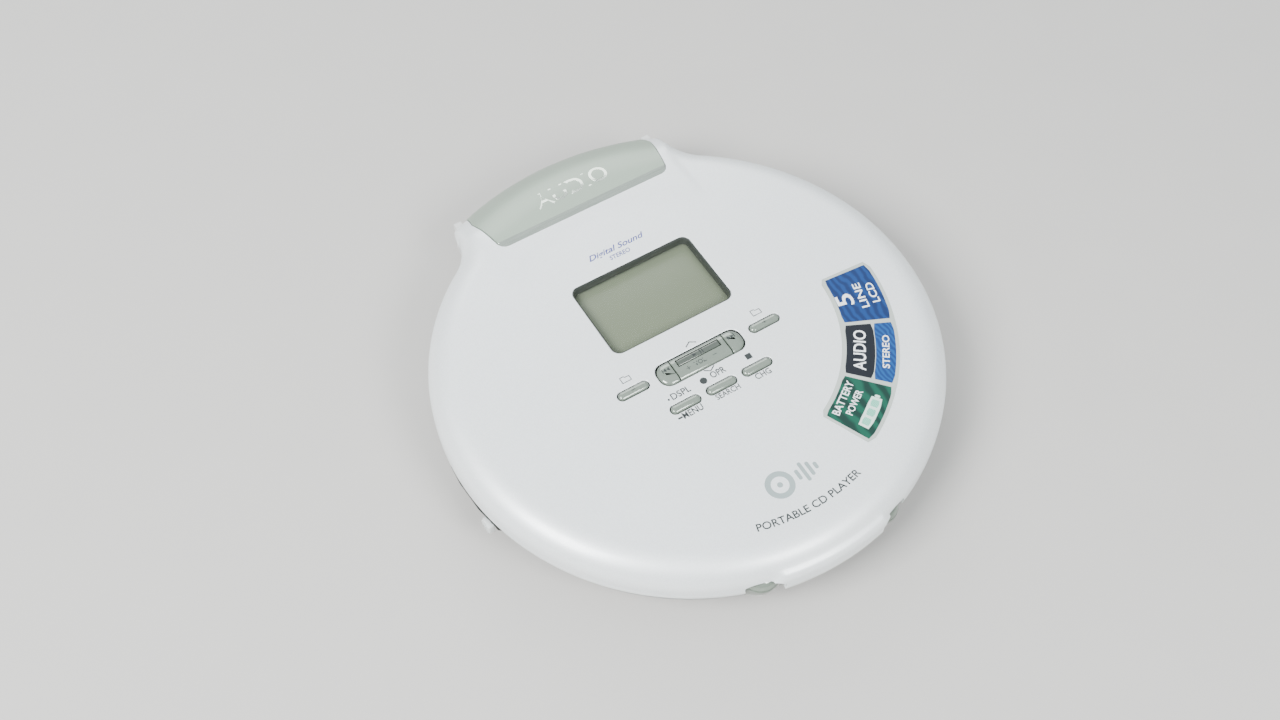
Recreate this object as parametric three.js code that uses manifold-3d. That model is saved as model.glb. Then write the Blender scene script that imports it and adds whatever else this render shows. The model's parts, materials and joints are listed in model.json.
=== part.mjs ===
// A portable disc player as an assembly: a round base with its drive inside, and a lid with a
// rear hump, display and keys that opens on two hinge pins. Millimetres, +Z up, floor at z = 0.
// The working frame has the disc spindle at x = y = 0; the whole is shifted along Y at the end.
import * as THREE from "three";
import { mergeVertices } from "three/addons/utils/BufferGeometryUtils.js";
import Module from "manifold-3d";

const wasm = await Module();
wasm.setup();

// ---- driving dimensions: outside form ----
const BODY_R = 69; // radius of the round body
const TOP_Z = 25; // crown of the lid
const GAP = 0.3; // clearance between neighbouring pieces
const ROUND = 48; // facets round the big turned pieces
const PAST = 1; // how far a cutting shape reaches past what it cuts
const FOOT_H = 0.8;
const WALL = 1.3; // moulded wall of the lid
const DOME_SAG = 0.75; // the lid's top falls by this much at DOME_R
const DOME_R = 60;
const SHOULDER_R = 61; // where the shoulder begins
const SHOULDER_Z = 17; // height of the widest line of the shoulder
const LID_BOTTOM = 14.6;

// ---- base heights ----
const RING_TOP = LID_BOTTOM - GAP;
const RING_BOTTOM = 13.3;
const CASE_TOP = 13;
const FLOOR_TOP = 2.2; // inside floor of the lower case
const DECK_TOP = 14;
const DECK_BOTTOM = 12.6;
const COVER_BOTTOM = 18.7; // underside of the lid's inner cover
const COVER_TOP = 19.7;

// ---- hinge and battery ----
const HINGE_Y = 69.5;
const HINGE_Z = 8;
const HINGE_BORE_R = 1.4;
const HINGE_PIN_R = 1.1;
const HINGE_PIN_FROM = 28.2; // the pins lie this far from the middle
const HINGE_PIN_TO = 32.2;
const EAR_FROM = 30.1; // the lid's hinge ears stand this far from the middle
const EAR_THICK = 2.3;
const EAR_R = 3.2;
const EAR_TOP = 17.5;
const BATTERY_Y = 66.5;
const BATTERY_Z = 9.6;
const BATTERY_R = 7.1;
const BATTERY_HALF = 25.25;
const BAY_HALF = 27.2; // half length of the battery bay
const BAY_FRONT = 58.6;
const REAR_HALF = 29.7; // half width of the base's rear extension
const DOOR_HALF = BAY_HALF - GAP;

// ---- hump and its plate ----
const HUMP_ARC_R = 84; // plan radius of the hump's rear edge
const HUMP_REAR = 78.9;
const HUMP_FLAT_Y = 61; // the hump's top is level up to here, then rolls down as an ellipse
const HUMP_ROLL_Z = 13;
const HUMP_SINK = 0.3; // the silver top of the hump lies this far below the crown
const HUMP_HALF = 34.6;
const HUMP_FRONT = 44; // the hump's solid starts here, sunk in the dome
const HUMP_CORNER_X = 30.5;
const HUMP_FLANK_X = 33.6;
const HUMP_TOE_X = 41; // the flank leaves the round body here
const SKIRT_TOP = 19.5;
const PLATE_FRONT = 52.6;
const PLATE_INSIDE = 0.9; // the plate's rear edge lies this far inside the hump's

// ---- display, keys, label, lip ----
const LCD_HALF = 18.6;
const LCD_FRONT = 5.4;
const LCD_REAR = 30.2;
const LCD_CORNER = 2.5;
const PILL_Y = -16.65;
const PILL_X = 11;
const PILL_HALF_X = 4.3;
const PILL_HALF_Y = 1.2;
const FOLDER_X = 20.3;
const FOLDER_Y = -6.15;
const FOLDER_HALF_X = 4.45;
const FOLDER_HALF_Y = 1.2;
const FLANGE = 0.8; // a key's flange is this much wider than its cap
const BAR_Y = -6.5;
const BAR_HALF_X = 12.75;
const BAR_HALF_Y = 3.4;
const BAR_CORNER = 1.6;
const BAR_SPLIT = 8.1; // where the bar parts into its end keys
const STRIP_HALF_X = 6.4;
const KEY_TOP = 25.5;
const KEY_BOTTOM = 22.4;
const LABEL_INNER = 40.5;
const LABEL_OUTER = 56;
const LABEL_FROM = -66.2; // degrees from +X
const LABEL_TO = -3.2;
const LABEL_LIFT = 0.06;
const LABEL_THICK = 0.14;
const LIP_HALF = 15.4;
const LIP_R = 70.4; // the lid's front lip is a low ledge that follows the round body
const OPEN_ANGLE = 16.2; // open buttons stand this far each side of the front
const OPEN_HALF = 4.6;
const OPEN_BOTTOM = 10.2;
const OPEN_TOP = 17.4;

// ---- side sockets ----
const PANEL_FRONT = -15.4;
const PANEL_REAR = 5.6;
const PANEL_TOP = 12.3;
const PANEL_BACK_X = -64.2;
const SOCKET_Z = 9.3;
const PHONES_Y = 2.4;
const POWER_Y = -3.8;

// ---- drive ----
const TRAVEL_LENS = 24; // the lens stands this far from the spindle at rest
const SLOT_HALF = 6.2; // half width of the sled's slot in the deck
const SLOT_FROM = 10;
const SLOT_TO = 63.1;
const SHAFT_Y = 11;
const SHAFT_Z = 9;
const SHAFT_R = 0.9;
const SHAFT_FROM = 11.5;
const SHAFT_TO = 60.3;
const PINION_X = 23;
const RACK_PITCH_Y = -15;
const FINE_MODULE = 0.4;
const RACK_MODULE = 0.5;
const PINION_TEETH = 16;
const GEAR_TEETH = 40;
const MOTOR_TEETH = 10;
const ADDENDUM = 0.8; // tooth tip above and root below the pitch line, in modules
const DEDENDUM = 1.1;
const PINION_Y = RACK_PITCH_Y - (RACK_MODULE * PINION_TEETH) / 2;
const GEAR_DISTANCE = (FINE_MODULE * (GEAR_TEETH + MOTOR_TEETH)) / 2;
const MOTOR_ANGLE = Math.atan2(-6, 8); // direction from the reduction gear to the sled motor
const CHASSIS_BOTTOM = 5;
const CHASSIS_TOP = 5.8;
const TABLE_BOTTOM = 13;
const CLAW_INNER = 5.4;
const CLAW_OUTER = 7.6;
const CLAW_HALF = 1.2;

// ---- places of small pieces: [x, y] ----
const SCREW_PLACES = [[-50, 12], [50, -12], [0, -44]];
const FOOT_PLACES = [[-40, 38], [40, 38], [0, -56]];
const FOOT_R = 3.6;
const DAMPERS = [["damper_front_left", -14, -29], ["damper_rear_left", -18, 20], ["damper_right", 50, 17]];

// ---- turned and drawn outlines: [radius, height] unless said ----
const CASE_OUTSIDE = [[55, FOOT_H], [60.2, 1.7], [64, 4.2], [66.6, 8], [68.4, CASE_TOP]];
const CASE_INSIDE = [[54.6, FLOOR_TOP], [59.4, 3], [62.7, 5], [65.3, 8.4]];
const REAR_SIDE = [ // [y, z] of the battery barrel's outside
  [48, FOOT_H], [70.5, FOOT_H], [73.6, 2.4], [75.3, 5.6], [75.5, 10.2], [73.9, CASE_TOP], [48, CASE_TOP],
];
const BAY_SIDE = [ // [y, z] of the battery bay's inside
  [BAY_FRONT, FLOOR_TOP], [73, FLOOR_TOP], [74.2, 5.6], [74.3, 9.9], [72.8, 13.1],
  [72.8, CASE_TOP + PAST], [BAY_FRONT, CASE_TOP + PAST],
];
const DOOR_SIDE = [[59.5, FOOT_H], [70.5, FOOT_H], [73, FLOOR_TOP - 0.1], [59.5, FLOOR_TOP - 0.1]];
const LIP_SECTION = [
  [60, LID_BOTTOM], [LIP_R, LID_BOTTOM], [LIP_R, 18.3], [LIP_R - 0.9, 19.5], [64, 22.6], [60, 22],
  [60, LID_BOTTOM],
];
const TRIM_SECTION = [
  [67.3, RING_BOTTOM], [68.9, RING_BOTTOM], [BODY_R, RING_BOTTOM + 0.5], [68.6, RING_TOP],
  [67.3, RING_TOP], [67.3, RING_BOTTOM],
];
const DECK_SECTION = [
  [0, DECK_BOTTOM], [66.4, DECK_BOTTOM], [66.4, DECK_TOP], [64.4, DECK_TOP], [64.2, 16],
  [63.2, 16], [62.4, DECK_TOP], [0, DECK_TOP],
];
const SPINDLE_MOTOR_SECTION = [[0, 6.1], [9.6, 6.1], [10, 6.6], [10, 10], [9, 10.8], [0, 10.8]];
const TABLE_SECTION = [
  [0, 11.2], [3, 11.2], [3, TABLE_BOTTOM], [15.3, TABLE_BOTTOM], [15.6, 15.4], [12.6, 15.4],
  [12.4, 15], [7.3, 15], [7.3, 17], [6.7, 17.6], [0, 17.6],
];
const SOCKET_SECTION = [[0, 5.7], [65.6, 5.7], [68.3, 9], [BODY_R, PANEL_TOP], [0, PANEL_TOP]];
const OPEN_SECTION = [[0, OPEN_BOTTOM], [67.6, OPEN_BOTTOM], [68.6, 13.8], [68.3, OPEN_TOP], [0, OPEN_TOP]];
const CHASSIS_PLAN = [ // [x, y]
  [-22, -20], [-16, -34], [38, -34], [59, -12.4], [60.4, -10], [60.4, 12.4], [50, 24], [-22, 24],
];
const BOARD_PLAN = [[-25, -38], [-25, 38], [-33, 38], [-46, 20], [-46, -20], [-33, -38]]; // [x, y]

// ---- finishes ----
const LOOKS = {
  silver: [0xdfe4e8, 0.35, 0.6],
  plate: [0xb9c7b8, 0.4, 0.5],
  key: [0x9aa79b, 0.25, 0.1],
  lcd: [0x8b9b71, 0.4, 0],
  dark: [0x25282a, 0.5, 0],
  grey: [0x8d9294, 0.6, 0],
  white: [0xd9dad6, 0.6, 0],
  steel: [0xb5b8ba, 0.3, 1],
  brass: [0xb99a4a, 0.35, 1],
  rubber: [0x2b2b2b, 0.9, 0],
  board: [0x2f5f3a, 0.6, 0],
  glass: [0xcfe0e6, 0.1, 0],
  label: [0x2a66b8, 0.3, 0],
};

const player = new THREE.Group();
const lid = new THREE.Group();
player.add(lid);

// ---- helpers: geometry to solid and back ----
function solid(geometry) {
  const bare = geometry.clone();
  bare.deleteAttribute("normal");
  bare.deleteAttribute("uv");
  const merged = mergeVertices(bare.index ? bare.toNonIndexed() : bare, 1e-4);
  const source = merged.index.array;
  const triangles = [];
  for (let i = 0; i < source.length; i += 3) {
    const [a, b, c] = [source[i], source[i + 1], source[i + 2]];
    if (a !== b && b !== c && a !== c) triangles.push(a, b, c);
  }
  const build = (list) =>
    new wasm.Manifold(
      new wasm.Mesh({
        numProp: 3,
        vertProperties: merged.attributes.position.array,
        triVerts: new Uint32Array(list),
      }),
    );
  const made = build(triangles);
  return made.volume() > 0 ? made : build(triangles.reverse());
}

function geometryOf(made) {
  const mesh = made.getMesh();
  const geometry = new THREE.BufferGeometry();
  geometry.setAttribute("position", new THREE.BufferAttribute(mesh.vertProperties.slice(), 3));
  geometry.setIndex(new THREE.BufferAttribute(mesh.triVerts.slice(), 1));
  geometry.computeVertexNormals();
  return geometry;
}

function node(name, made, look, parent = player) {
  const [color, roughness, metalness] = LOOKS[look];
  const material = new THREE.MeshStandardMaterial({ color, roughness, metalness });
  const mesh = new THREE.Mesh(geometryOf(made), material);
  mesh.name = name;
  parent.add(mesh);
  return mesh;
}

// ---- helpers: the shapes that recur ----
function lathe(profile, segments = ROUND) {
  const points = profile.map(([r, z]) => new THREE.Vector2(r, z));
  const geometry = new THREE.LatheGeometry(points, segments);
  geometry.rotateX(Math.PI / 2);
  return solid(geometry);
}

function disc(radius, low, high, x = 0, y = 0, segments = 20) {
  const geometry = new THREE.CylinderGeometry(radius, radius, high - low, segments);
  geometry.rotateX(Math.PI / 2);
  geometry.translate(x, y, (low + high) / 2);
  return solid(geometry);
}

function rodX(radius, from, to, y, z, segments = 16) {
  const geometry = new THREE.CylinderGeometry(radius, radius, to - from, segments);
  geometry.rotateZ(Math.PI / 2);
  geometry.translate((from + to) / 2, y, z);
  return solid(geometry);
}

function block(x0, x1, y0, y1, z0, z1) {
  const geometry = new THREE.BoxGeometry(x1 - x0, y1 - y0, z1 - z0);
  geometry.translate((x0 + x1) / 2, (y0 + y1) / 2, (z0 + z1) / 2);
  return solid(geometry);
}

function prism(shape, low, high, curveSegments = 6) {
  const options = { depth: high - low, bevelEnabled: false, curveSegments };
  const geometry = new THREE.ExtrudeGeometry(shape, options);
  geometry.translate(0, 0, low);
  return solid(geometry);
}

function outline(points) {
  return new THREE.Shape(points.map(([x, y]) => new THREE.Vector2(x, y)));
}

// A profile drawn in (y, z) and stretched along x.
function alongX(points, from, to) {
  const made = new THREE.ExtrudeGeometry(outline(points), { depth: to - from, bevelEnabled: false });
  made.applyMatrix4(
    new THREE.Matrix4().set(0, 0, 1, from, 1, 0, 0, 0, 0, 1, 0, 0, 0, 0, 0, 1),
  );
  return solid(made);
}

// A profile drawn in (x, z) and stretched along y.
function alongY(points, from, to) {
  const made = new THREE.ExtrudeGeometry(outline(points), { depth: to - from, bevelEnabled: false });
  made.rotateX(Math.PI / 2);
  made.translate(0, to, 0);
  return solid(made);
}

function roundedShape(halfX, halfY, radius, x = 0, y = 0) {
  const shape = new THREE.Shape();
  shape.absarc(x + halfX - radius, y + halfY - radius, radius, 0, Math.PI / 2);
  shape.absarc(x - halfX + radius, y + halfY - radius, radius, Math.PI / 2, Math.PI);
  shape.absarc(x - halfX + radius, y - halfY + radius, radius, Math.PI, 1.5 * Math.PI);
  shape.absarc(x + halfX - radius, y - halfY + radius, radius, 1.5 * Math.PI, 2 * Math.PI);
  return shape;
}

function ellipsePoints(cx, cz, a, b, from, to, steps) {
  const points = [];
  for (let i = 0; i <= steps; i += 1) {
    const t = THREE.MathUtils.degToRad(from + ((to - from) * i) / steps);
    points.push([cx + a * Math.cos(t), cz + b * Math.sin(t)]);
  }
  return points;
}

const domeZ = (r) => TOP_Z - DOME_SAG * (r / DOME_R) ** 2;
const circleY = (x, r) => Math.sqrt(r * r - x * x);

// ---- the lid's outer skin, lowered by a given thickness ----
function domeSolid(inset, bottom) {
  const ringsOnTop = [30, 48];
  const rise = domeZ(SHOULDER_R) - inset - SHOULDER_Z;
  const width = BODY_R - SHOULDER_R - inset;
  const arc = ellipsePoints(SHOULDER_R, SHOULDER_Z, width, rise, 90, 0, 5);
  return lathe([
    [0, domeZ(0) - inset],
    ...ringsOnTop.map((r) => [r, domeZ(r) - inset]),
    ...arc,
    [BODY_R - inset, bottom],
    [0, bottom],
  ]);
}

const humpCentreY = HUMP_REAR - HUMP_ARC_R;

// Plan of the hump: concave flanks from the round body, small corners, an arc at the rear.
function humpOutline(inset) {
  const arcR = HUMP_ARC_R - inset;
  const cornerX = HUMP_CORNER_X - inset;
  const cornerY = humpCentreY + circleY(cornerX, arcR);
  const flankX = HUMP_FLANK_X - inset;
  const toe = HUMP_TOE_X - inset;
  const toeY = circleY(toe, BODY_R - inset);
  const end = Math.atan2(cornerY - humpCentreY, cornerX);
  const shape = new THREE.Shape();
  shape.moveTo(-toe, toeY);
  shape.lineTo(-toe, HUMP_FRONT);
  shape.lineTo(toe, HUMP_FRONT);
  shape.lineTo(toe, toeY);
  shape.quadraticCurveTo(flankX + 1.4, 59.8, flankX + 0.4, 66.5);
  shape.lineTo(flankX, 70);
  shape.quadraticCurveTo(flankX - 0.4, 72.1, cornerX, cornerY);
  shape.absarc(0, humpCentreY, arcR, end, Math.PI - end, false);
  shape.quadraticCurveTo(-flankX + 0.4, 72.1, -flankX, 70);
  shape.lineTo(-flankX - 0.4, 66.5);
  shape.quadraticCurveTo(-flankX - 1.4, 59.8, -toe, toeY);
  return shape;
}

function rollPoints(top, to, steps) {
  const length = HUMP_REAR - HUMP_FLAT_Y - (TOP_Z - top);
  return ellipsePoints(HUMP_FLAT_Y, HUMP_ROLL_Z, length, top - HUMP_ROLL_Z, 90, to, steps);
}

// Side view of the hump: level, then an elliptical roll down to the rear.
function humpProfile(top, bottom) {
  const roll = rollPoints(top, 8, 7);
  const rear = roll[roll.length - 1][0];
  return [[HUMP_FRONT, top - 0.5], ...roll, [rear, bottom], [HUMP_FRONT, bottom]];
}

function humpSolid(inset, bottom) {
  const top = TOP_Z - HUMP_SINK - inset;
  const half = HUMP_HALF - inset;
  const right = [[half, bottom], [half, 19 - inset], [half - 3.4, 24 - inset], [half - 7, TOP_Z]];
  const left = right.map(([x, z]) => [-x, z]).reverse();
  const skirt = block(-HUMP_TOE_X, HUMP_TOE_X, 40, 70, bottom, SKIRT_TOP - inset);
  const wide = alongY([...right, ...left], 40, 80).add(skirt);
  const body = prism(humpOutline(inset), bottom, TOP_Z + PAST, 5);
  const side = alongX(humpProfile(top, bottom), -HUMP_TOE_X - PAST, HUMP_TOE_X + PAST);
  return body.intersect(side).intersect(wide);
}

// Plan of the plate: straight front, flared sides and an arc at the rear.
function plateShape(inset) {
  const front = PLATE_FRONT + inset;
  const arcR = HUMP_ARC_R - PLATE_INSIDE - inset;
  const rearX = 28.2 - inset;
  const rearY = humpCentreY + circleY(rearX, arcR);
  const end = Math.atan2(rearY - humpCentreY, rearX);
  const shape = new THREE.Shape();
  shape.moveTo(-24.6 + inset, front);
  shape.lineTo(24.6 - inset, front);
  shape.quadraticCurveTo(26.4 - inset, front, 27 - inset, front + 2);
  shape.lineTo(29.3 - inset, 66);
  shape.lineTo(rearX, rearY);
  shape.absarc(0, humpCentreY, arcR, end, Math.PI - end, false);
  shape.lineTo(-29.3 + inset, 66);
  shape.lineTo(-27 + inset, front + 2);
  shape.quadraticCurveTo(-26.4 + inset, front, -24.6 + inset, front);
  return shape;
}

// A bent sheet that follows the hump between two top heights.
function humpSheet(outer, inner) {
  const front = PLATE_FRONT - 1;
  const up = [[front, outer - 0.9], [PLATE_FRONT + 1.3, outer], ...rollPoints(outer, 12, 8)];
  const down = [...rollPoints(inner, 12, 8).reverse(), [front, inner]];
  return alongX([...up, ...down], -HUMP_HALF - PAST, HUMP_HALF + PAST);
}

function polarBlock(direction, inner, outer, halfWide, low, high) {
  const geometry = new THREE.BoxGeometry(outer - inner, 2 * halfWide, high - low);
  geometry.translate((inner + outer) / 2, 0, (low + high) / 2);
  geometry.rotateZ(THREE.MathUtils.degToRad(direction));
  return solid(geometry);
}

const openDirections = [-90 - OPEN_ANGLE, -90 + OPEN_ANGLE];
const lcdMiddleY = (LCD_FRONT + LCD_REAR) / 2;
const lcdHalfY = (LCD_REAR - LCD_FRONT) / 2;

// ---- keys: each is drawn once, and the same outline widened by GAP is its hole ----
const pills = [
  ["display_key", -PILL_X, PILL_Y, PILL_HALF_X, PILL_HALF_Y],
  ["search_key", 0, PILL_Y, PILL_HALF_X, PILL_HALF_Y],
  ["stop_key", PILL_X, PILL_Y, PILL_HALF_X, PILL_HALF_Y],
  ["folder_back_key", -FOLDER_X, FOLDER_Y, FOLDER_HALF_X, FOLDER_HALF_Y],
  ["folder_next_key", FOLDER_X, FOLDER_Y, FOLDER_HALF_X, FOLDER_HALF_Y],
];

function pillShape(x, y, halfX, halfY) {
  return roundedShape(halfX, halfY, halfY - 0.01, x, y);
}

function barShape(grow) {
  return roundedShape(BAR_HALF_X + grow, BAR_HALF_Y + grow, BAR_CORNER + grow, 0, BAR_Y);
}

function keyHoles() {
  const low = 22;
  const high = KEY_TOP + 1.5;
  const holes = pills.map(([, x, y, halfX, halfY]) =>
    prism(pillShape(x, y, halfX + GAP, halfY + GAP), low, high, 3),
  );
  holes.push(prism(barShape(GAP), low, high, 4));
  return holes;
}

function pillKeys() {
  const flangeBottom = 22.2;
  const flangeTop = 22.9;
  pills.forEach(([name, x, y, halfX, halfY]) => {
    const cap = prism(pillShape(x, y, halfX, halfY), flangeTop - 0.1, KEY_TOP, 3);
    const wide = roundedShape(halfX + FLANGE, halfY + FLANGE, 1, x, y);
    node(name, cap.add(prism(wide, flangeBottom, flangeTop, 2)), "key", lid);
  });
}

function controlBar() {
  const whole = prism(barShape(0), KEY_BOTTOM, KEY_TOP, 4);
  const seam = GAP / 2;
  const stripFront = BAR_Y + 0.3;
  const stripRear = BAR_Y + 2.1;
  const low = BAR_Y - BAR_HALF_Y - PAST;
  const high = BAR_Y + BAR_HALF_Y + PAST;
  const part = (x0, x1) => whole.intersect(block(x0, x1, low, high, 20, 27));
  const pocket = block(
    -STRIP_HALF_X - GAP, STRIP_HALF_X + GAP, stripFront - GAP, stripRear + GAP, 23.9, 27,
  );
  const strip = block(-STRIP_HALF_X, STRIP_HALF_X, stripFront, stripRear, 24.5, KEY_TOP + 0.1);
  node("volume_rocker", part(-BAR_SPLIT + seam, BAR_SPLIT - seam).subtract(pocket), "key", lid);
  node("play_key", strip, "dark", lid);
  node("skip_back_key", part(-20, -BAR_SPLIT - seam), "key", lid);
  node("skip_forward_key", part(BAR_SPLIT + seam, 20), "key", lid);
}

// ---- lid: shell, plate, inner cover, display, label ----
function hingeEar(from) {
  const foot = ellipsePoints(HINGE_Y, HINGE_Z, EAR_R, EAR_R, 180, 360, 8);
  const side = [...foot, [HINGE_Y + EAR_R, EAR_TOP], [65, EAR_TOP]];
  const ear = alongX(side, from, from + EAR_THICK);
  return ear.subtract(rodX(HINGE_BORE_R, -40, 40, HINGE_Y, HINGE_Z));
}

function lidShell() {
  const front = block(-LIP_HALF, LIP_HALF, -80, -50, LID_BOTTOM - PAST, TOP_Z);
  const lip = lathe(LIP_SECTION).intersect(front);
  let made = domeSolid(0, LID_BOTTOM).add(lip).add(humpSolid(0, LID_BOTTOM));
  made = made.subtract(domeSolid(WALL, LID_BOTTOM - PAST));
  made = made.subtract(humpSolid(WALL, LID_BOTTOM - PAST));
  // the plate's seat, then the opening through it
  const seat = prism(plateShape(-GAP), 10, TOP_Z + 2, 4);
  made = made.subtract(seat.intersect(humpSheet(TOP_Z + 1.5, TOP_Z - 1.5)));
  made = made.subtract(prism(plateShape(2), 16, TOP_Z + 2, 4));
  const window = roundedShape(LCD_HALF, lcdHalfY, LCD_CORNER, 0, lcdMiddleY);
  made = made.subtract(prism(window, 20, TOP_Z + PAST, 4));
  keyHoles().forEach((hole) => {
    made = made.subtract(hole);
  });
  openDirections.forEach((direction) => {
    const notch = polarBlock(
      direction, 66.2, 75, OPEN_HALF + GAP, LID_BOTTOM - PAST, OPEN_TOP + GAP,
    );
    made = made.subtract(notch);
  });
  return made.add(hingeEar(EAR_FROM)).add(hingeEar(-EAR_FROM - EAR_THICK));
}

function rearPlate() {
  const sheet = humpSheet(TOP_Z + 0.1, TOP_Z - 1.2);
  return prism(plateShape(0), 10, TOP_Z + 2, 4).intersect(sheet);
}

// The cover clears the hub of the turntable with a shallow recess.
function innerCover() {
  const recessR = 9;
  const recessTop = COVER_BOTTOM + 0.5;
  const made = lathe([[0, COVER_BOTTOM], [61.4, COVER_BOTTOM], [62, COVER_TOP], [0, COVER_TOP]]);
  const low = COVER_BOTTOM - PAST;
  return made.subtract(lathe([[0, low], [recessR, low], [recessR, recessTop], [0, recessTop]], 30));
}

function displayPieces() {
  const rim = 1.2;
  const clear = roundedShape(LCD_HALF - rim, lcdHalfY - rim, 1.6, 0, lcdMiddleY);
  const frameShape = roundedShape(LCD_HALF - GAP, lcdHalfY - GAP, 2.2, 0, lcdMiddleY);
  const bezel = prism(frameShape, 23.0, 24.4, 4).subtract(prism(clear, 22, 26, 4));
  const pane = prism(roundedShape(LCD_HALF, lcdHalfY, 2, 0, lcdMiddleY), 22.1, 22.7, 3);
  const panel = block(
    -LCD_HALF - 1, LCD_HALF + 1, LCD_FRONT - 1, LCD_REAR + 1, 21.2, 21.8,
  );
  node("display_bezel", bezel, "dark", lid);
  node("display_window", pane, "glass", lid);
  node("lcd_panel", panel, "lcd", lid);
  node("control_board", block(-27, 27, -20, 33, 20, 20.8), "board", lid);
}

function lidLabel() {
  const from = THREE.MathUtils.degToRad(LABEL_FROM);
  const to = THREE.MathUtils.degToRad(LABEL_TO);
  const shape = new THREE.Shape();
  shape.absarc(0, 0, LABEL_OUTER, from, to, false);
  shape.absarc(0, 0, LABEL_INNER, to, from, true);
  const radii = [30, 40, 52, 61];
  const lower = radii.map((r) => [r, domeZ(r) + LABEL_LIFT]);
  const upper = radii.map((r) => [r, domeZ(r) + LABEL_LIFT + LABEL_THICK]).reverse();
  const skin = lathe([...lower, ...upper, lower[0]]);
  node("lid_label", skin.intersect(prism(shape, 20, 28, 12)), "label", lid);
}

// ---- base ----
function screwHole(x, y) {
  const counterbore = disc(2.2, 0, 1.4, x, y, 12);
  return counterbore.add(disc(1.1, 0, 3, x, y, 8));
}

function lowerCase() {
  const insideDown = [...CASE_INSIDE].reverse();
  let made = lathe([[0, FOOT_H], ...CASE_OUTSIDE, [67, CASE_TOP], ...insideDown, [0, FLOOR_TOP]]);
  made = made.add(alongX(REAR_SIDE, -REAR_HALF, REAR_HALF));
  const inside = lathe([[0, FLOOR_TOP], ...CASE_INSIDE, [67, CASE_TOP + PAST], [0, CASE_TOP + PAST]]);
  const bayWall = block(-50, 50, BAY_FRONT - 1, 80, 0, CASE_TOP + PAST);
  made = made.subtract(inside.subtract(bayWall));
  made = made.subtract(alongX(BAY_SIDE, -BAY_HALF, BAY_HALF));
  made = made.subtract(block(-REAR_HALF, REAR_HALF, 50, 58.7, DECK_BOTTOM - GAP, 14));
  made = made.subtract(block(-BAY_HALF, BAY_HALF, 59.2, 80, 0, 2.4));
  [-40, HINGE_PIN_FROM - GAP].forEach((from) => {
    made = made.subtract(rodX(HINGE_BORE_R, from, from + 12.1, HINGE_Y, HINGE_Z));
  });
  made = made.subtract(block(-75, -62.4, PANEL_FRONT - GAP, PANEL_REAR + GAP, 5.4, 14));
  openDirections.forEach((direction) => {
    made = made.subtract(polarBlock(direction, 60, 75, OPEN_HALF + GAP, OPEN_BOTTOM - GAP, 14));
  });
  SCREW_PLACES.forEach(([x, y]) => {
    made = made.subtract(screwHole(x, y));
  });
  return made;
}

// The pale ring between case and lid, open at the rear and at both buttons.
function trimRing() {
  let made = lathe(TRIM_SECTION).subtract(block(-39, 39, 40, 80, 12, 16));
  openDirections.forEach((direction) => {
    made = made.subtract(polarBlock(direction, 60, 75, OPEN_HALF + GAP, 12, 16));
  });
  return made.decompose();
}

function discDeck() {
  const innerTubeR = 7.4;
  const outerTubeR = 8.1;
  const half = 29;
  const ledgeBottom = 13.3;
  const arch = (radius, reach) =>
    alongX(ellipsePoints(BATTERY_Y, BATTERY_Z, radius, radius, 0, 180, 16), -reach, reach);
  const ledge = block(-half, half, 56, 75.6, ledgeBottom, DECK_TOP);
  const room = prism(humpOutline(WALL + 0.5), ledgeBottom, 20, 5)
    .add(block(-half, half, 50, 58.5, ledgeBottom, DECK_TOP));
  const housing = arch(outerTubeR, half).add(ledge).intersect(room);
  let made = lathe(DECK_SECTION).subtract(block(-80, 80, 58.2, 80, 12, 18));
  made = made.add(housing).subtract(arch(innerTubeR, BAY_HALF));
  made = made.subtract(block(-BAY_HALF, BAY_HALF, 60, 73.2, 12, 13.9));
  made = made.subtract(disc(16.4, 12, 15, 0, 0, 30));
  made = made.subtract(block(SLOT_FROM, SLOT_TO, -SLOT_HALF, SLOT_HALF, 12, 15));
  openDirections.forEach((direction) => {
    made = made.subtract(polarBlock(direction, 62.2, 75, OPEN_HALF + GAP, 12, 17));
  });
  return made;
}

function battery() {
  const tip = rodX(2.6, BATTERY_HALF - 1.5, BATTERY_HALF, BATTERY_Y, BATTERY_Z, 10);
  const cell = rodX(BATTERY_R, -BATTERY_HALF, BATTERY_HALF - 1, BATTERY_Y, BATTERY_Z, 20);
  const strap = (from, to) => block(from, to, 63, 70, 4.4, CASE_TOP);
  const spring = strap(-26.9, -26.4)
    .add(rodX(4.2, -26.5, -26, BATTERY_Y, BATTERY_Z, 14))
    .add(rodX(2.4, -26.1, -25.55, BATTERY_Y, BATTERY_Z, 12));
  node("battery_cell", cell.add(tip), "steel");
  node("battery_contact_plus", strap(25.6, 26.2), "brass");
  node("battery_contact_spring", spring, "brass");
  node("battery_door", alongX(DOOR_SIDE, -DOOR_HALF, DOOR_HALF), "grey");
}

function sockets() {
  const panel = lathe(SOCKET_SECTION).intersect(block(-75, PANEL_BACK_X, PANEL_FRONT, PANEL_REAR, 5, 14));
  const hole = (y, r) => rodX(r, -75, -60, y, SOCKET_Z, 14);
  const knobSlot = block(-75, -66.6, -15, -7.7, 7.6, 11.4);
  const barrelHalf = 2.8;
  const barrel = (y, bore) =>
    block(-63.9, -54, y - barrelHalf, y + barrelHalf, SOCKET_Z - barrelHalf, PANEL_TOP)
      .subtract(rodX(bore, -70, -56, y, SOCKET_Z, 12));
  const centrePin = rodX(0.5, -63, -55, POWER_Y, SOCKET_Z, 6);
  const face = panel.subtract(hole(PHONES_Y, 2.7)).subtract(hole(POWER_Y, 2.4)).subtract(knobSlot);
  node("socket_panel", face, "dark");
  node("headphone_socket", barrel(PHONES_Y, 1.8), "dark");
  node("power_socket", barrel(POWER_Y, 1.7).add(centrePin), "dark");
  node("hold_knob", block(-BODY_R, -66.9, -14.7, -11.2, 7.9, 11.1), "grey");
}

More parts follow.
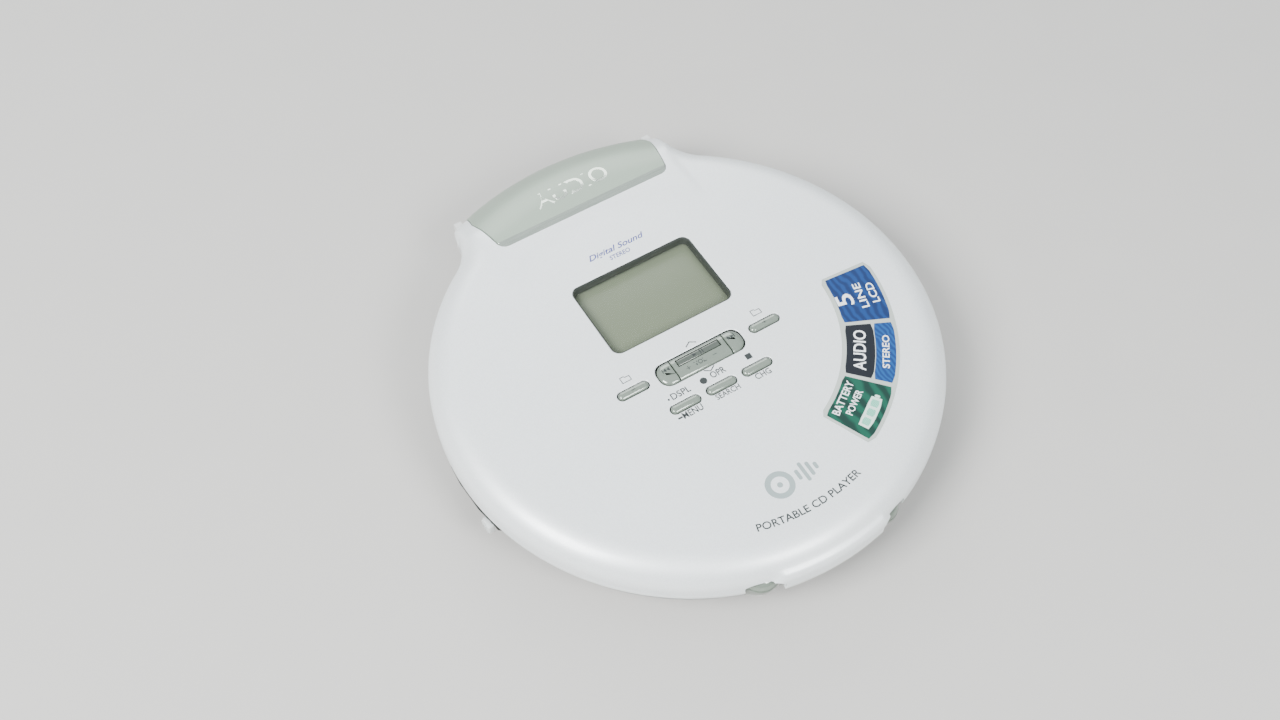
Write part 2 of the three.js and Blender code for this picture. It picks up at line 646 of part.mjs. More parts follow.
function openButtons() {
  const envelope = lathe(OPEN_SECTION);
  const sides = ["left", "right"];
  sides.forEach((side, i) => {
    const direction = openDirections[i];
    const cap = envelope.intersect(
      polarBlock(direction, 66.5, 75, OPEN_HALF, OPEN_BOTTOM, OPEN_TOP),
    );
    const guide = polarBlock(direction, 64.6, 67, 2.4, 10.5, 12.2);
    const post = polarBlock(direction, 63, 64.1, 2.6, 12.9, 21.4);
    node("open_button_" + side, cap.add(guide), "key");
    node("lid_catch_" + side, post, "grey", lid);
  });
}

// ---- drive ----
function toothed(teeth, module, thickness, turn) {
  const pitch = (module * teeth) / 2;
  const tip = pitch + ADDENDUM * module;
  const root = pitch - DEDENDUM * module;
  const corners = [[root, -0.7], [tip, -0.28], [tip, 0.28], [root, 0.7]]; // radius, share of width
  const points = [];
  for (let i = 0; i < teeth; i += 1) {
    const middle = turn + (2 * Math.PI * i) / teeth;
    corners.forEach(([r, share]) => {
      const a = middle + (share * thickness) / r;
      points.push([r * Math.cos(a), r * Math.sin(a)]);
    });
  }
  return outline(points);
}

function gears() {
  const fineTooth = 0.42;
  const wheel = toothed(GEAR_TEETH, FINE_MODULE, fineTooth, MOTOR_ANGLE);
  const pinion = toothed(PINION_TEETH, RACK_MODULE, 0.6, Math.PI / 2);
  const bore = disc(1, 5, 10, 0, 0, 10);
  const gear = prism(wheel, 6.1, 7.2).add(prism(pinion, 7.1, 9)).subtract(bore);
  node("reduction_gear", gear.translate([PINION_X, PINION_Y, 0]), "white");
  const back = MOTOR_ANGLE + Math.PI + Math.PI / MOTOR_TEETH;
  const motorX = PINION_X + GEAR_DISTANCE * Math.cos(MOTOR_ANGLE);
  const motorY = PINION_Y + GEAR_DISTANCE * Math.sin(MOTOR_ANGLE);
  const teeth = prism(toothed(MOTOR_TEETH, FINE_MODULE, fineTooth, back), 6.1, 7.3);
  const shaft = disc(0.5, 7.2, 9.5, 0, 0, 8);
  node("motor_pinion", teeth.add(shaft).translate([motorX, motorY, 0]), "brass");
  const can = disc(4.7, 7.6, 12, motorX, motorY, 20);
  node("sled_motor", can.subtract(disc(0.8, 7, 11, motorX, motorY, 8)), "steel");
}

function rack(from, to) {
  const pitch = Math.PI * RACK_MODULE;
  const back = -12.8;
  const margin = 0.8;
  const root = RACK_PITCH_Y + DEDENDUM * RACK_MODULE;
  const tip = RACK_PITCH_Y - ADDENDUM * RACK_MODULE;
  const points = [[from, back], [from, root]];
  const first = Math.ceil((from + margin - PINION_X) / pitch - 0.5);
  for (let x = PINION_X + (first + 0.5) * pitch; x < to - margin; x += pitch) {
    points.push([x - 0.42, root], [x - 0.17, tip], [x + 0.17, tip], [x + 0.42, root]);
  }
  points.push([to, root], [to, back]);
  return prism(outline(points), 7.6, 8.9);
}

function pickup() {
  const lensX = TRAVEL_LENS;
  let sled = block(lensX - 10, lensX + 4.6, -9.2, 9.2, 7.5, 11.7);
  sled = sled.add(block(lensX - 9, lensX - 1, -13, 13, 7.6, 10.6));
  sled = sled.add(rack(-13.5, 27));
  [["guide_shaft_front", -SHAFT_Y], ["guide_shaft_rear", SHAFT_Y]].forEach(([name, y]) => {
    sled = sled.subtract(rodX(SHAFT_R + GAP, 0, 60, y, SHAFT_Z, 12));
    node(name, rodX(SHAFT_R, SHAFT_FROM, SHAFT_TO, y, SHAFT_Z, 10), "steel");
  });
  node("pickup_sled", sled, "dark");
  const holder = prism(roundedShape(4.4, 4.4, 1, lensX, 0), 12.1, 13.5, 3);
  node("lens_holder", holder.subtract(disc(2.6, 12, 14, lensX, 0, 16)), "grey");
  node("objective_lens", disc(2.25, 12.4, 13.8, lensX, 0, 16), "glass");
}

function chassis() {
  const supports = [[11, 12.8], [58.6, 60.4]]; // x of the blocks that hold the guide shafts
  let made = prism(outline(CHASSIS_PLAN), CHASSIS_BOTTOM, CHASSIS_TOP);
  [-SHAFT_Y, SHAFT_Y].forEach((y) => {
    supports.forEach(([x0, x1]) => {
      made = made.add(block(x0, x1, y - 1.5, y + 1.5, 5.5, 10.6));
    });
    made = made.subtract(rodX(SHAFT_R + GAP, 10, 62, y, SHAFT_Z, 12));
  });
  const post = disc(0.7, 5.5, 9.4, PINION_X, PINION_Y, 10);
  node("mech_chassis", made.add(post), "steel");
  DAMPERS.forEach(([name, x, y]) => node(name, disc(3, 2.5, 4.7, x, y, 14), "rubber"));
}

function spindle() {
  node("spindle_motor", lathe(SPINDLE_MOTOR_SECTION, 30), "steel");
  let table = lathe(TABLE_SECTION, 30);
  for (let i = 0; i < 3; i += 1) {
    const direction = 90 + 120 * i;
    const claw = polarBlock(direction, CLAW_INNER, CLAW_OUTER, CLAW_HALF, 15.6, 16.7);
    table = table.subtract(polarBlock(direction, CLAW_INNER - 1, 9, CLAW_HALF + GAP, 15.3, 17));
    node("chuck_claw_" + (i + 1), claw, "white");
  }
  node("turntable", table, "dark");
}

function mainBoard() {
  const top = 4.6;
  const chips = [block(-44, -32, 8, 20, top - 0.1, 6), block(-42, -30, -24, -10, top - 0.1, 6.2)];
  const capacitors = [-30, 27].map((y) => disc(3, top - 0.1, 9, -34, y, 12));
  let made = prism(outline(BOARD_PLAN), top - 1, top);
  [...chips, ...capacitors].forEach((part) => {
    made = made.add(part);
  });
  node("main_board", made, "board");
}

function fasteners() {
  const slotHalf = 1.2;
  const slotThick = 0.25;
  SCREW_PLACES.forEach(([x, y], i) => {
    const head = disc(1.9, FOOT_H, 1.3, x, y, 12).add(disc(0.8, 1.2, 4.4, x, y, 8));
    const slot = block(x - slotHalf, x + slotHalf, y - slotThick, y + slotThick, 0.5, 1.1);
    const cross = block(x - slotThick, x + slotThick, y - slotHalf, y + slotHalf, 0.5, 1.1);
    node("case_screw_" + (i + 1), head.subtract(slot).subtract(cross), "steel");
  });
  FOOT_PLACES.forEach(([x, y], i) => {
    node("foot_" + (i + 1), disc(FOOT_R, 0, FOOT_H - 0.05, x, y, 16), "rubber");
  });
  const pin = (from, to) => rodX(HINGE_PIN_R, from, to, HINGE_Y, HINGE_Z, 12);
  node("hinge_pin_left", pin(-HINGE_PIN_TO, -HINGE_PIN_FROM), "steel");
  node("hinge_pin_right", pin(HINGE_PIN_FROM, HINGE_PIN_TO), "steel");
}

// ---- assembly ----
pillKeys();
controlBar();
node("lid_shell", lidShell(), "silver", lid);
node("rear_plate", rearPlate(), "plate", lid);
node("lid_inner_cover", innerCover(), "white", lid);
displayPieces();
lidLabel();
node("lower_case", lowerCase(), "grey");
trimRing().forEach((piece, i) => node("base_trim_" + (i + 1), piece, "white"));
node("disc_deck", discDeck(), "white");
battery();
sockets();
openButtons();
gears();
pickup();
chassis();
spindle();
mainBoard();
fasteners();

// the origin stands under the middle of the outside box
const box = new THREE.Box3().setFromObject(player);
player.position.y = -(box.min.y + box.max.y) / 2;

export default player;
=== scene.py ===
"""The finished look of a portable disc player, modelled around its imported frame."""
import json
import math

import bmesh
import bpy
from mathutils import Matrix, Quaternion, Vector


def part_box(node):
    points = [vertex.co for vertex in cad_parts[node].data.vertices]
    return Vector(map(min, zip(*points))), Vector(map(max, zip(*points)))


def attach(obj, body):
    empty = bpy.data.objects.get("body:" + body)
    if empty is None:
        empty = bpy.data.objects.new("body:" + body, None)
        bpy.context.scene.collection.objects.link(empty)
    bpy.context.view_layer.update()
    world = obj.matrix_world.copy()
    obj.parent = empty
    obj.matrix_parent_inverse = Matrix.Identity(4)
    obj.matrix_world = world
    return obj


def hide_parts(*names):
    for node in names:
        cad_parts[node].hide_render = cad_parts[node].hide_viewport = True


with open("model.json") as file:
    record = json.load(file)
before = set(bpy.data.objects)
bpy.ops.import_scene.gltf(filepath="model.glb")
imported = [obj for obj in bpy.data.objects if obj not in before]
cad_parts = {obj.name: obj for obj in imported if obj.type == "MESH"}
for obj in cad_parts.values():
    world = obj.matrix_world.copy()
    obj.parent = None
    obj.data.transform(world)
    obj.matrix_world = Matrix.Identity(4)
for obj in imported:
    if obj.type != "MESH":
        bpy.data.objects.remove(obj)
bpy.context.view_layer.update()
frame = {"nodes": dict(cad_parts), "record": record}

bl_info = {
    "name": "Portable disc player",
    "version": (1, 0, 0),
    "blender": (4, 5, 0),
    "location": "View3D > Sidebar > Disc Player",
    "description": "Models the visible pieces of a round disc player with a hinged lid",
    "category": "Object",
}

MM = 0.001
NODES = frame["nodes"]
BODY_OF = {node: body for body, group in frame["record"]["behaviour"]["bodies"].items() for node in group}

# ---- places read from the frame, in millimetres around the disc spindle ----
TABLE_LOW, TABLE_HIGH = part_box("turntable")
SPINDLE = Vector(((TABLE_LOW.x + TABLE_HIGH.x) / 2, (TABLE_LOW.y + TABLE_HIGH.y) / 2, 0))
TO_FRAME = Matrix.Translation(SPINDLE) @ Matrix.Scale(MM, 4)


def local_box(node):
    """Lowest and highest corner of a frame node, in millimetres around the spindle."""
    low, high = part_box(node)
    return (low - SPINDLE) / MM, (high - SPINDLE) / MM


LID_LOW, LID_HIGH = local_box("lid_shell")
BODY_R = LID_HIGH.x
TOP_Z = LID_HIGH.z
HUMP_REAR = LID_HIGH.y
LID_BOTTOM = local_box("base_trim_1")[1].z + 0.3
PLATE_LOW, PLATE_HIGH = local_box("rear_plate")
WINDOW_LOW, WINDOW_HIGH = local_box("display_window")

# ---- the lid's form ----
DOME_SAG = 0.75
DOME_R = 60.0
SHOULDER_W = 8.0
SHOULDER_Z = 17.0
HUMP_ARC = HUMP_REAR + 5.1 - 0.02  # plan radius of the hump's rear edge
HUMP_CENTRE_Y = -5.1
HUMP_TOP = TOP_Z - 0.25
HUMP_ROLL = 17.9  # length over which the hump rolls down to the rear
HUMP_ROLL_Z = 13.0
FLANK_W = 5.5
SKIN = 1.25
LEDGE_R = -LID_LOW.y - 0.05  # the front ledge follows the round body
LEDGE_HALF = 12.7  # half its angle, in degrees
LEDGE_EASE = 4.0  # degrees over which it grows out of the round
LEDGE_LEVEL = 19.7  # its height just inside its edge
LEDGE_ROLL = 1.2
EDGE_BAND = 0.6  # least upright height of the lid's rim
HUMP_FRONT_R = 57.5  # the hump falls a little in front of this radius
FLANK_X = 33.6  # half width of the hump at its rear
TOE_X = 41.0  # where the hump's plan meets the round
OPEN_DIRECTIONS = (-106.2, -73.8)  # where the open buttons stand, in degrees from +X
OPEN_HALF = 4.6
BUTTON_ROOM = OPEN_HALF + 0.3
HINGE_Y = 69.5
HINGE_Z = 8.0
EAR_R = 3.1
PIN_R = 1.4
PLATE_INSET = 0.9  # lacquer left between the plate and the hump's rear edge
PLATE_REAR_HALF = 28.4
PLATE_RISE = 0.34
GAP = 0.28  # clearance round a key
BAR_CORNER = 2.9


# ---------------------------------------------------------------- properties
class PlayerSizes(bpy.types.PropertyGroup):
    """Sizes that shape the visible pieces."""

    print_lift: bpy.props.FloatProperty(
        name="Print lift", description="Height of printed marks above the lacquer",
        default=0.00003, unit="LENGTH")
    plate_bevel: bpy.props.FloatProperty(
        name="Plate bevel", description="Width of the polished bevel on the rear plate",
        default=0.0019, unit="LENGTH")
    camera_distance: bpy.props.FloatProperty(
        name="Camera distance", description="Distance from the camera to the lid's top",
        default=0.3917, unit="LENGTH")
    camera_heading: bpy.props.FloatProperty(
        name="Camera heading", description="Compass direction in which the camera looks",
        default=math.radians(30.9), subtype="ANGLE")
    camera_elevation: bpy.props.FloatProperty(
        name="Camera elevation", description="Angle of the view above the horizon",
        default=math.radians(56.45), subtype="ANGLE")


class PlayerColours(bpy.types.PropertyGroup):
    """Colours of the finishes."""

    lacquer: bpy.props.FloatVectorProperty(
        name="Lacquer", description="Silver lacquer of the lid",
        default=(0.88, 0.92, 0.93), subtype="COLOR")
    plate: bpy.props.FloatVectorProperty(
        name="Plate", description="Satin plate on the hump",
        default=(0.33, 0.40, 0.33), subtype="COLOR")
    smoke: bpy.props.FloatVectorProperty(
        name="Keys", description="Smoked key plastic",
        default=(0.20, 0.24, 0.20), subtype="COLOR")
    crystal: bpy.props.FloatVectorProperty(
        name="Display", description="Unlit display",
        default=(0.068, 0.092, 0.038), subtype="COLOR")
    case: bpy.props.FloatVectorProperty(
        name="Case", description="Lower case plastic",
        default=(0.30, 0.32, 0.33), subtype="COLOR")


# ---------------------------------------------------------------- materials
def shader(name):
    """An empty node material with its Principled shader, its links and its node set."""
    material = bpy.data.materials.new(name)
    material.use_nodes = True
    tree = material.node_tree
    return material, tree, tree.nodes["Principled BSDF"]


def texture(tree, kind, scale, **settings):
    """A procedural texture on object coordinates."""
    node = tree.nodes.new(kind)
    node.inputs["Scale"].default_value = scale
    for key, value in settings.items():
        node.inputs[key].default_value = value
    place = tree.nodes.get("place") or tree.nodes.new("ShaderNodeTexCoord")
    place.name = "place"
    tree.links.new(place.outputs["Object"], node.inputs["Vector"])
    return node


def ramp(tree, source, low, high, start=0.0, end=1.0):
    """Spreads a 0 to 1 value between two colours."""
    node = tree.nodes.new("ShaderNodeValToRGB")
    node.color_ramp.elements[0].position = start
    node.color_ramp.elements[0].color = (*low, 1)
    node.color_ramp.elements[1].position = end
    node.color_ramp.elements[1].color = (*high, 1)
    tree.links.new(source, node.inputs["Fac"])
    return node.outputs["Color"]


def spread(tree, source, low, high):
    """Maps a 0 to 1 value onto a range."""
    node = tree.nodes.new("ShaderNodeMapRange")
    node.inputs["To Min"].default_value = low
    node.inputs["To Max"].default_value = high
    tree.links.new(source, node.inputs["Value"])
    return node.outputs["Result"]


def bump(tree, bsdf, source, strength, distance):
    """Roughens a surface by a 0 to 1 value."""
    node = tree.nodes.new("ShaderNodeBump")
    node.inputs["Strength"].default_value = strength
    node.inputs["Distance"].default_value = distance
    tree.links.new(source, node.inputs["Height"])
    tree.links.new(node.outputs["Normal"], bsdf.inputs["Normal"])


def shade(colour, factor):
    return tuple(min(1.0, c * factor) for c in colour)


def moulded(name, colour, roughness, grain=2600.0, depth=0.00002, metallic=0.0, coat=0.0, wear=0.06):
    """A moulded or coated surface: fine grain, slow colour drift and uneven gloss."""
    material, tree, bsdf = shader(name)
    drift = texture(tree, "ShaderNodeTexNoise", 42.0, Detail=3.0)
    grain_node = texture(tree, "ShaderNodeTexNoise", grain, Detail=2.0)
    colour_out = ramp(tree, drift.outputs["Fac"], shade(colour, 1 - wear), shade(colour, 1 + wear), 0.3, 0.7)
    tree.links.new(colour_out, bsdf.inputs["Base Color"])
    gloss = spread(tree, drift.outputs["Fac"], roughness * 0.85, min(1.0, roughness * 1.15))
    tree.links.new(gloss, bsdf.inputs["Roughness"])
    bump(tree, bsdf, grain_node.outputs["Fac"], 0.25, depth)
    bsdf.inputs["Metallic"].default_value = metallic
    bsdf.inputs["Coat Weight"].default_value = coat
    bsdf.inputs["Coat Roughness"].default_value = 0.06
    return material


def lacquer(colour):
    """Silver lacquer: aluminium flakes at many tilts under a thin clear coat."""
    material, tree, bsdf = shader("silver_lacquer")
    flakes = texture(tree, "ShaderNodeTexVoronoi", 5200.0)
    drift = texture(tree, "ShaderNodeTexNoise", 25.0, Detail=4.0)
    tint = ramp(tree, flakes.outputs["Color"], shade(colour, 0.93), shade(colour, 1.06))
    mix = tree.nodes.new("ShaderNodeMix")
    mix.data_type = "RGBA"
    mix.blend_type = "MULTIPLY"
    mix.inputs["Factor"].default_value = 0.5
    cloud = ramp(tree, drift.outputs["Fac"], (0.95, 0.955, 0.96), (1.0, 1.0, 1.0), 0.35, 0.65)
    tree.links.new(tint, mix.inputs["A"])
    tree.links.new(cloud, mix.inputs["B"])
    tree.links.new(mix.outputs["Result"], bsdf.inputs["Base Color"])
    gloss = spread(tree, flakes.outputs["Distance"], 0.34, 0.5)
    tree.links.new(gloss, bsdf.inputs["Roughness"])
    bump(tree, bsdf, flakes.outputs["Color"], 0.16, 0.00006)
    bsdf.inputs["Metallic"].default_value = 0.3
    bsdf.inputs["Coat Weight"].default_value = 0.3
    bsdf.inputs["Coat Roughness"].default_value = 0.12
    return material


def smoked_rim_shaded(name, colour, darker=1.0):
    """Glossy smoke-tinted plastic with painted shade: its colour darkens towards the rims, where the surface
    turns from view.
    """
    material, tree, bsdf = shader(name)
    # painted shade: the facing weight drives the colour from the face tone to a rim tone less than half as
    # bright
    depth = tree.nodes.new("ShaderNodeLayerWeight")
    depth.inputs["Blend"].default_value = 0.35
    face, rim = shade(colour, darker), shade(colour, 0.45 * darker)
    edge = ramp(tree, depth.outputs["Facing"], face, rim, 0.25, 0.95)
    tree.links.new(edge, bsdf.inputs["Base Color"])
    drift = texture(tree, "ShaderNodeTexNoise", 160.0, Detail=3.0)
    gloss = spread(tree, drift.outputs["Fac"], 0.07, 0.14)
    tree.links.new(gloss, bsdf.inputs["Roughness"])
    bsdf.inputs["Metallic"].default_value = 0.25
    bsdf.inputs["Coat Weight"].default_value = 0.8
    bsdf.inputs["Coat Roughness"].default_value = 0.03
    return material


def brushed(name, colour, roughness):
    """Metal with fine lines along X."""
    material, tree, bsdf = shader(name)
    lines = texture(tree, "ShaderNodeTexNoise", 1.0, Detail=2.0)
    mapping = tree.nodes.new("ShaderNodeMapping")
    mapping.inputs["Scale"].default_value = (180.0, 6000.0, 180.0)
    tree.links.new(tree.nodes["place"].outputs["Object"], mapping.inputs["Vector"])
    tree.links.new(mapping.outputs["Vector"], lines.inputs["Vector"])
    tree.links.new(ramp(tree, lines.outputs["Fac"], shade(colour, 0.9), shade(colour, 1.05), 0.3, 0.7),
                   bsdf.inputs["Base Color"])
    tree.links.new(spread(tree, lines.outputs["Fac"], roughness * 0.8, roughness * 1.25),
                   bsdf.inputs["Roughness"])
    bump(tree, bsdf, lines.outputs["Fac"], 0.1, 0.00002)
    bsdf.inputs["Metallic"].default_value = 0.9
    return material


def crystal(colour):
    """The unlit display: an even green with a slow random drift."""
    material, tree, bsdf = shader("display_green")
    cloud = texture(tree, "ShaderNodeTexNoise", 30.0, Detail=2.0)
    tree.links.new(ramp(tree, cloud.outputs["Fac"], shade(colour, 0.93), shade(colour, 1.1), 0.3, 0.7),
                   bsdf.inputs["Base Color"])
    bsdf.inputs["Roughness"].default_value = 0.35
    return material


def clear(name):
    """Clear window: mostly see-through, with a faint gloss."""
    material, tree, bsdf = shader(name)
    drift = texture(tree, "ShaderNodeTexNoise", 220.0)
    tree.links.new(spread(tree, drift.outputs["Fac"], 0.02, 0.06), bsdf.inputs["Roughness"])
    bsdf.inputs["Base Color"].default_value = (0.80, 0.86, 0.78, 1)
    bsdf.inputs["Alpha"].default_value = 0.05
    return material


def board_green():
    """Solder mask with fine copper runs."""
    material, tree, bsdf = shader("circuit_green")
    runs = texture(tree, "ShaderNodeTexBrick", 190.0)
    tree.links.new(ramp(tree, runs.outputs["Fac"], (0.02, 0.11, 0.05), (0.05, 0.22, 0.09)),
                   bsdf.inputs["Base Color"])
    bsdf.inputs["Roughness"].default_value = 0.4
    return material


def film(name, light, dark, scale):
    """Printed film: two inks that swirl together under a glossy face."""
    material, tree, bsdf = shader(name)
    swirl = texture(tree, "ShaderNodeTexWave", scale, Distortion=6.0, Detail=2.0)
    tree.links.new(ramp(tree, swirl.outputs["Fac"], dark, light, 0.2, 0.8), bsdf.inputs["Base Color"])
    bsdf.inputs["Roughness"].default_value = 0.38
    return material


def make_materials():
    """The finishes by the names that the pieces use."""
    colours = bpy.context.scene.player_colours
    return {
        "lacquer": lacquer(tuple(colours.lacquer)),
        "plate": moulded("plate_satin", tuple(colours.plate), 0.42, 3800.0, 0.00002, 0.35, 0.1, 0.03),
        "plate_edge": brushed("plate_polish", (0.62, 0.68, 0.60), 0.12),
        # both key finishes carry painted shade that darkens their rims
        "smoke": smoked_rim_shaded("key_smoke", tuple(colours.smoke)),
        "smoke_dark": smoked_rim_shaded("key_smoke_dark", tuple(colours.smoke), 0.42),
        # real dark frame of the display; on the lid's hole walls it is also painted shade in the key gaps
        "bezel": moulded("bezel_and_gap_shade", (0.03, 0.035, 0.03), 0.25, 3000.0, 0.00001, 0.0, 0.4),
        "crystal": crystal(tuple(colours.crystal)),
        "clear": clear("window_clear"),
        "case": moulded("case_grey", tuple(colours.case), 0.55, 2400.0, 0.00004),
        "trim": moulded("trim_pale", (0.72, 0.75, 0.74), 0.3, 3000.0, 0.00001, 0.1, 0.3),
        "inner": moulded("inner_white", (0.60, 0.61, 0.60), 0.5, 2200.0, 0.00004),
        "black": moulded("black_moulding", (0.012, 0.013, 0.014), 0.45, 2400.0, 0.00004),
        "steel": brushed("bright_steel", (0.62, 0.63, 0.65), 0.3),
        "brass": brushed("plated_brass", (0.68, 0.52, 0.24), 0.3),
        "rubber": moulded("foot_rubber", (0.02, 0.02, 0.02), 0.85, 1800.0, 0.00008),
        "board": board_green(),
        "jacket": moulded("cell_jacket", (0.10, 0.13, 0.20), 0.3, 3000.0, 0.00001, 0.4, 0.5),
        "ink_grey": moulded("ink_grey", (0.022, 0.028, 0.028), 0.6),
        "ink_pale": moulded("ink_pale", (0.27, 0.33, 0.33), 0.45),
        "ink_blue": moulded("ink_blue", (0.035, 0.04, 0.24), 0.5),
        "ink_white": moulded("ink_white", (0.85, 0.88, 0.90), 0.4),
        "film_border": moulded("film_border", (0.42, 0.46, 0.43), 0.4),
        "film_blue": film("film_blue", (0.002, 0.038, 0.17), (0.001, 0.018, 0.09), 150.0),
        "film_black": moulded("film_black", (0.003, 0.005, 0.010), 0.4),
        "film_sky": film("film_sky", (0.004, 0.07, 0.25), (0.002, 0.032, 0.15), 260.0),
        "film_pale": moulded("film_pale", (0.62, 0.80, 0.72), 0.25, coat=0.6),
        "film_mint": film("film_mint", (0.25, 0.62, 0.48), (0.12, 0.45, 0.33), 700.0),
        "film_green": film("film_green", (0.0015, 0.075, 0.045), (0.0008, 0.027, 0.019), 90.0),
        "lens": moulded("lens_coat", (0.03, 0.035, 0.10), 0.06, coat=1.0),
        "deck": moulded("deck_grey", (0.33, 0.34, 0.35), 0.45, 2200.0, 0.00004),
    }


MATERIALS = {}


# ---------------------------------------------------------------- mesh helpers
def finish(name, bm, body, materials, replaces=(), sharp=30.0):
    """Turns a bmesh in millimetres around the spindle into a finished piece on a body."""
    bmesh.ops.transform(bm, matrix=TO_FRAME, verts=bm.verts)
    return placed(name, bm, body, materials, replaces, sharp)


def placed(name, bm, body, materials, replaces, sharp):
    """Makes a piece of a bmesh that is already in the frame, and puts it on a body."""
    mesh = bpy.data.meshes.new(name)
    bm.to_mesh(mesh)
    bm.free()
    for key in materials:
        mesh.materials.append(MATERIALS[key])
    mesh.shade_smooth()
    mesh.set_sharp_from_angle(angle=math.radians(sharp))
    piece = bpy.data.objects.new(name, mesh)
    bpy.context.scene.collection.objects.link(piece)
    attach(piece, body)
    if replaces:
        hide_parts(*replaces)
    return piece


def cut(piece, tool_bm, operation="DIFFERENCE", sharp=30.0, crossing=False):
    """Cuts a piece with a tool given in millimetres around the spindle."""
    bmesh.ops.recalc_face_normals(tool_bm, faces=tool_bm.faces)
    before = len(piece.data.polygons)
    bmesh.ops.transform(tool_bm, matrix=TO_FRAME, verts=tool_bm.verts)
    mesh = bpy.data.meshes.new("tool")
    tool_bm.to_mesh(mesh)
    tool_bm.free()
    tool = bpy.data.objects.new("tool", mesh)
    bpy.context.scene.collection.objects.link(tool)
    change = piece.modifiers.new("cut", "BOOLEAN")
    change.object = tool
    change.operation = operation
    change.solver = "EXACT"
    change.use_self = crossing
    bpy.context.view_layer.update()
    graph = bpy.context.evaluated_depsgraph_get()
    made = bpy.data.meshes.new_from_object(piece.evaluated_get(graph))
    if len(made.polygons) < before / 3:
        raise RuntimeError(piece.name + " was lost in a cut")
    piece.modifiers.clear()
    piece.data = made
    bpy.data.objects.remove(tool)
    made.shade_smooth()
    made.set_sharp_from_angle(angle=math.radians(sharp))


def carve(piece, shape, *sizes, operation="DIFFERENCE"):
    """Cuts one shape out of a piece, or joins it on."""
    bm = bmesh.new()
    shape(bm, *sizes)
    cut(piece, bm, operation, 35)


def full_spin(bm, verts, edges, steps):
    bmesh.ops.spin(
        bm, geom=verts + edges, cent=(0, 0, 0), axis=(0, 0, 1), dvec=(0, 0, 0),
        angle=2 * math.pi, steps=steps, use_merge=True, use_duplicate=False)


def spun(bm, profile, steps=144):
    """Spins a profile of (radius, height) points about the spindle; one off the axis is closed first."""
    verts = [bm.verts.new((r, 0, z)) for r, z in profile]
    edges = [bm.edges.new(pair) for pair in zip(verts, verts[1:])]
    if profile[0][0] > 1e-6:
        edges.append(bm.edges.new((verts[-1], verts[0])))
    full_spin(bm, verts, edges, steps)
    bmesh.ops.remove_doubles(bm, verts=bm.verts, dist=1e-4)
    bmesh.ops.recalc_face_normals(bm, faces=bm.faces)
    return bm


def loft(bm, loops):
    """A closed solid through outlines of equal count, from the lowest to the highest."""
    rings = []
    for loop in loops:
        verts = [bm.verts.new(point) for point in loop]
        edges = [bm.edges.new((verts[i - 1], verts[i])) for i in range(len(verts))]
        rings.append((verts, edges))
    made = []
    for (_, lower), (_, upper) in zip(rings, rings[1:]):
        made += bmesh.ops.bridge_loops(bm, edges=lower + upper)["faces"]
    made.append(bm.faces.new(rings[0][0]))
    made.append(bm.faces.new(rings[-1][0]))
    bmesh.ops.recalc_face_normals(bm, faces=made)


def rounded(x0, x1, y0, y1, left, right, steps=8):
    """A rectangle with its left and right corners rounded, counter-clockwise."""
    corners = [(x1 - right, y1 - right, right, 0), (x0 + left, y1 - left, left, 90),
               (x0 + left, y0 + left, left, 180), (x1 - right, y0 + right, right, 270)]
    points = []
    for cx, cy, radius, start in corners:
        for i in range(steps + 1):
            a = math.radians(start + 90 * i / steps)
            points.append((cx + radius * math.cos(a), cy + radius * math.sin(a)))
    return points


def arc_points(x, y, radius, start, steps):
    """Half a circle of points from a starting angle in degrees."""
    turns = [math.radians(start) + math.pi * i / steps for i in range(steps + 1)]
    return [(x + radius * math.cos(a), y + radius * math.sin(a)) for a in turns]


def at_height(points, z):
    return [(x, y, z) for x, y in points]


def block(bm, x0, x1, y0, y1, z0, z1, round_by=0.0):
    """A box, its edges rounded where asked."""
    made = bmesh.ops.create_cube(bm, size=1.0)["verts"]
    middle = Vector(((x0 + x1) / 2, (y0 + y1) / 2, (z0 + z1) / 2))
    size = Matrix.Diagonal((x1 - x0, y1 - y0, z1 - z0, 1))
    bmesh.ops.transform(bm, matrix=Matrix.Translation(middle) @ size, verts=made)
    if round_by:
        edges = list({e for v in made for e in v.link_edges})
        bmesh.ops.bevel(bm, geom=edges, offset=round_by, affect="EDGES", segments=3, profile=0.5,
                        material=-1)
    return made


# ---------------------------------------------------------------- the lid's surface
def ellipse_drop(distance, width):
    """Share of full height at a distance inside the edge of a rolled shoulder."""
    if distance <= 0:
        return 0.0
    if distance >= width:
        return 1.0
    return math.sqrt(max(0.0, 1 - ((width - distance) / width) ** 2))


def smooth_max(a, b, k):
    """The higher of two heights, blended where they are within k of each other."""
    h = max(k - abs(a - b), 0.0) / k
    return max(a, b) + h * h * k / 4


def smooth_min(a, b, k):
    return -smooth_max(-a, -b, k)


def bend(start, pull, end, steps):
    """Points of a curve between two ends, drawn towards a third point."""
    points = []
    for i in range(steps + 1):
        t = i / steps
        points.append(tuple(
            (1 - t) ** 2 * a + 2 * t * (1 - t) * b + t * t * c for a, b, c in zip(start, pull, end)))
    return points


def hump_edge_points():
    """The right half of the hump's plan, from the body's round up to the middle of the rear edge."""
    toe = (TOE_X, math.sqrt(BODY_R ** 2 - TOE_X ** 2))
    points = bend(toe, (35.0, 59.8), (34.0, 66.5), 23)
    corner_x = 30.5
    corner = (corner_x, HUMP_CENTRE_Y + math.sqrt(HUMP_ARC ** 2 - corner_x ** 2))
    points += bend((33.6, 69.6), (33.2, 72.2), corner, 12)
    for i in range(1, 25):
        x = corner_x * (1 - i / 24)
        points.append((x, HUMP_CENTRE_Y + math.sqrt(HUMP_ARC ** 2 - x * x)))
    return points


HUMP_EDGE = [(math.degrees(math.atan2(x, y)), math.hypot(x, y)) for x, y in hump_edge_points()]
HUMP_EDGE.reverse()
HUMP_TOE = HUMP_EDGE[-1][0]
HUMP_NECK = 27.3  # angle off the rear where the flank leaves the round body


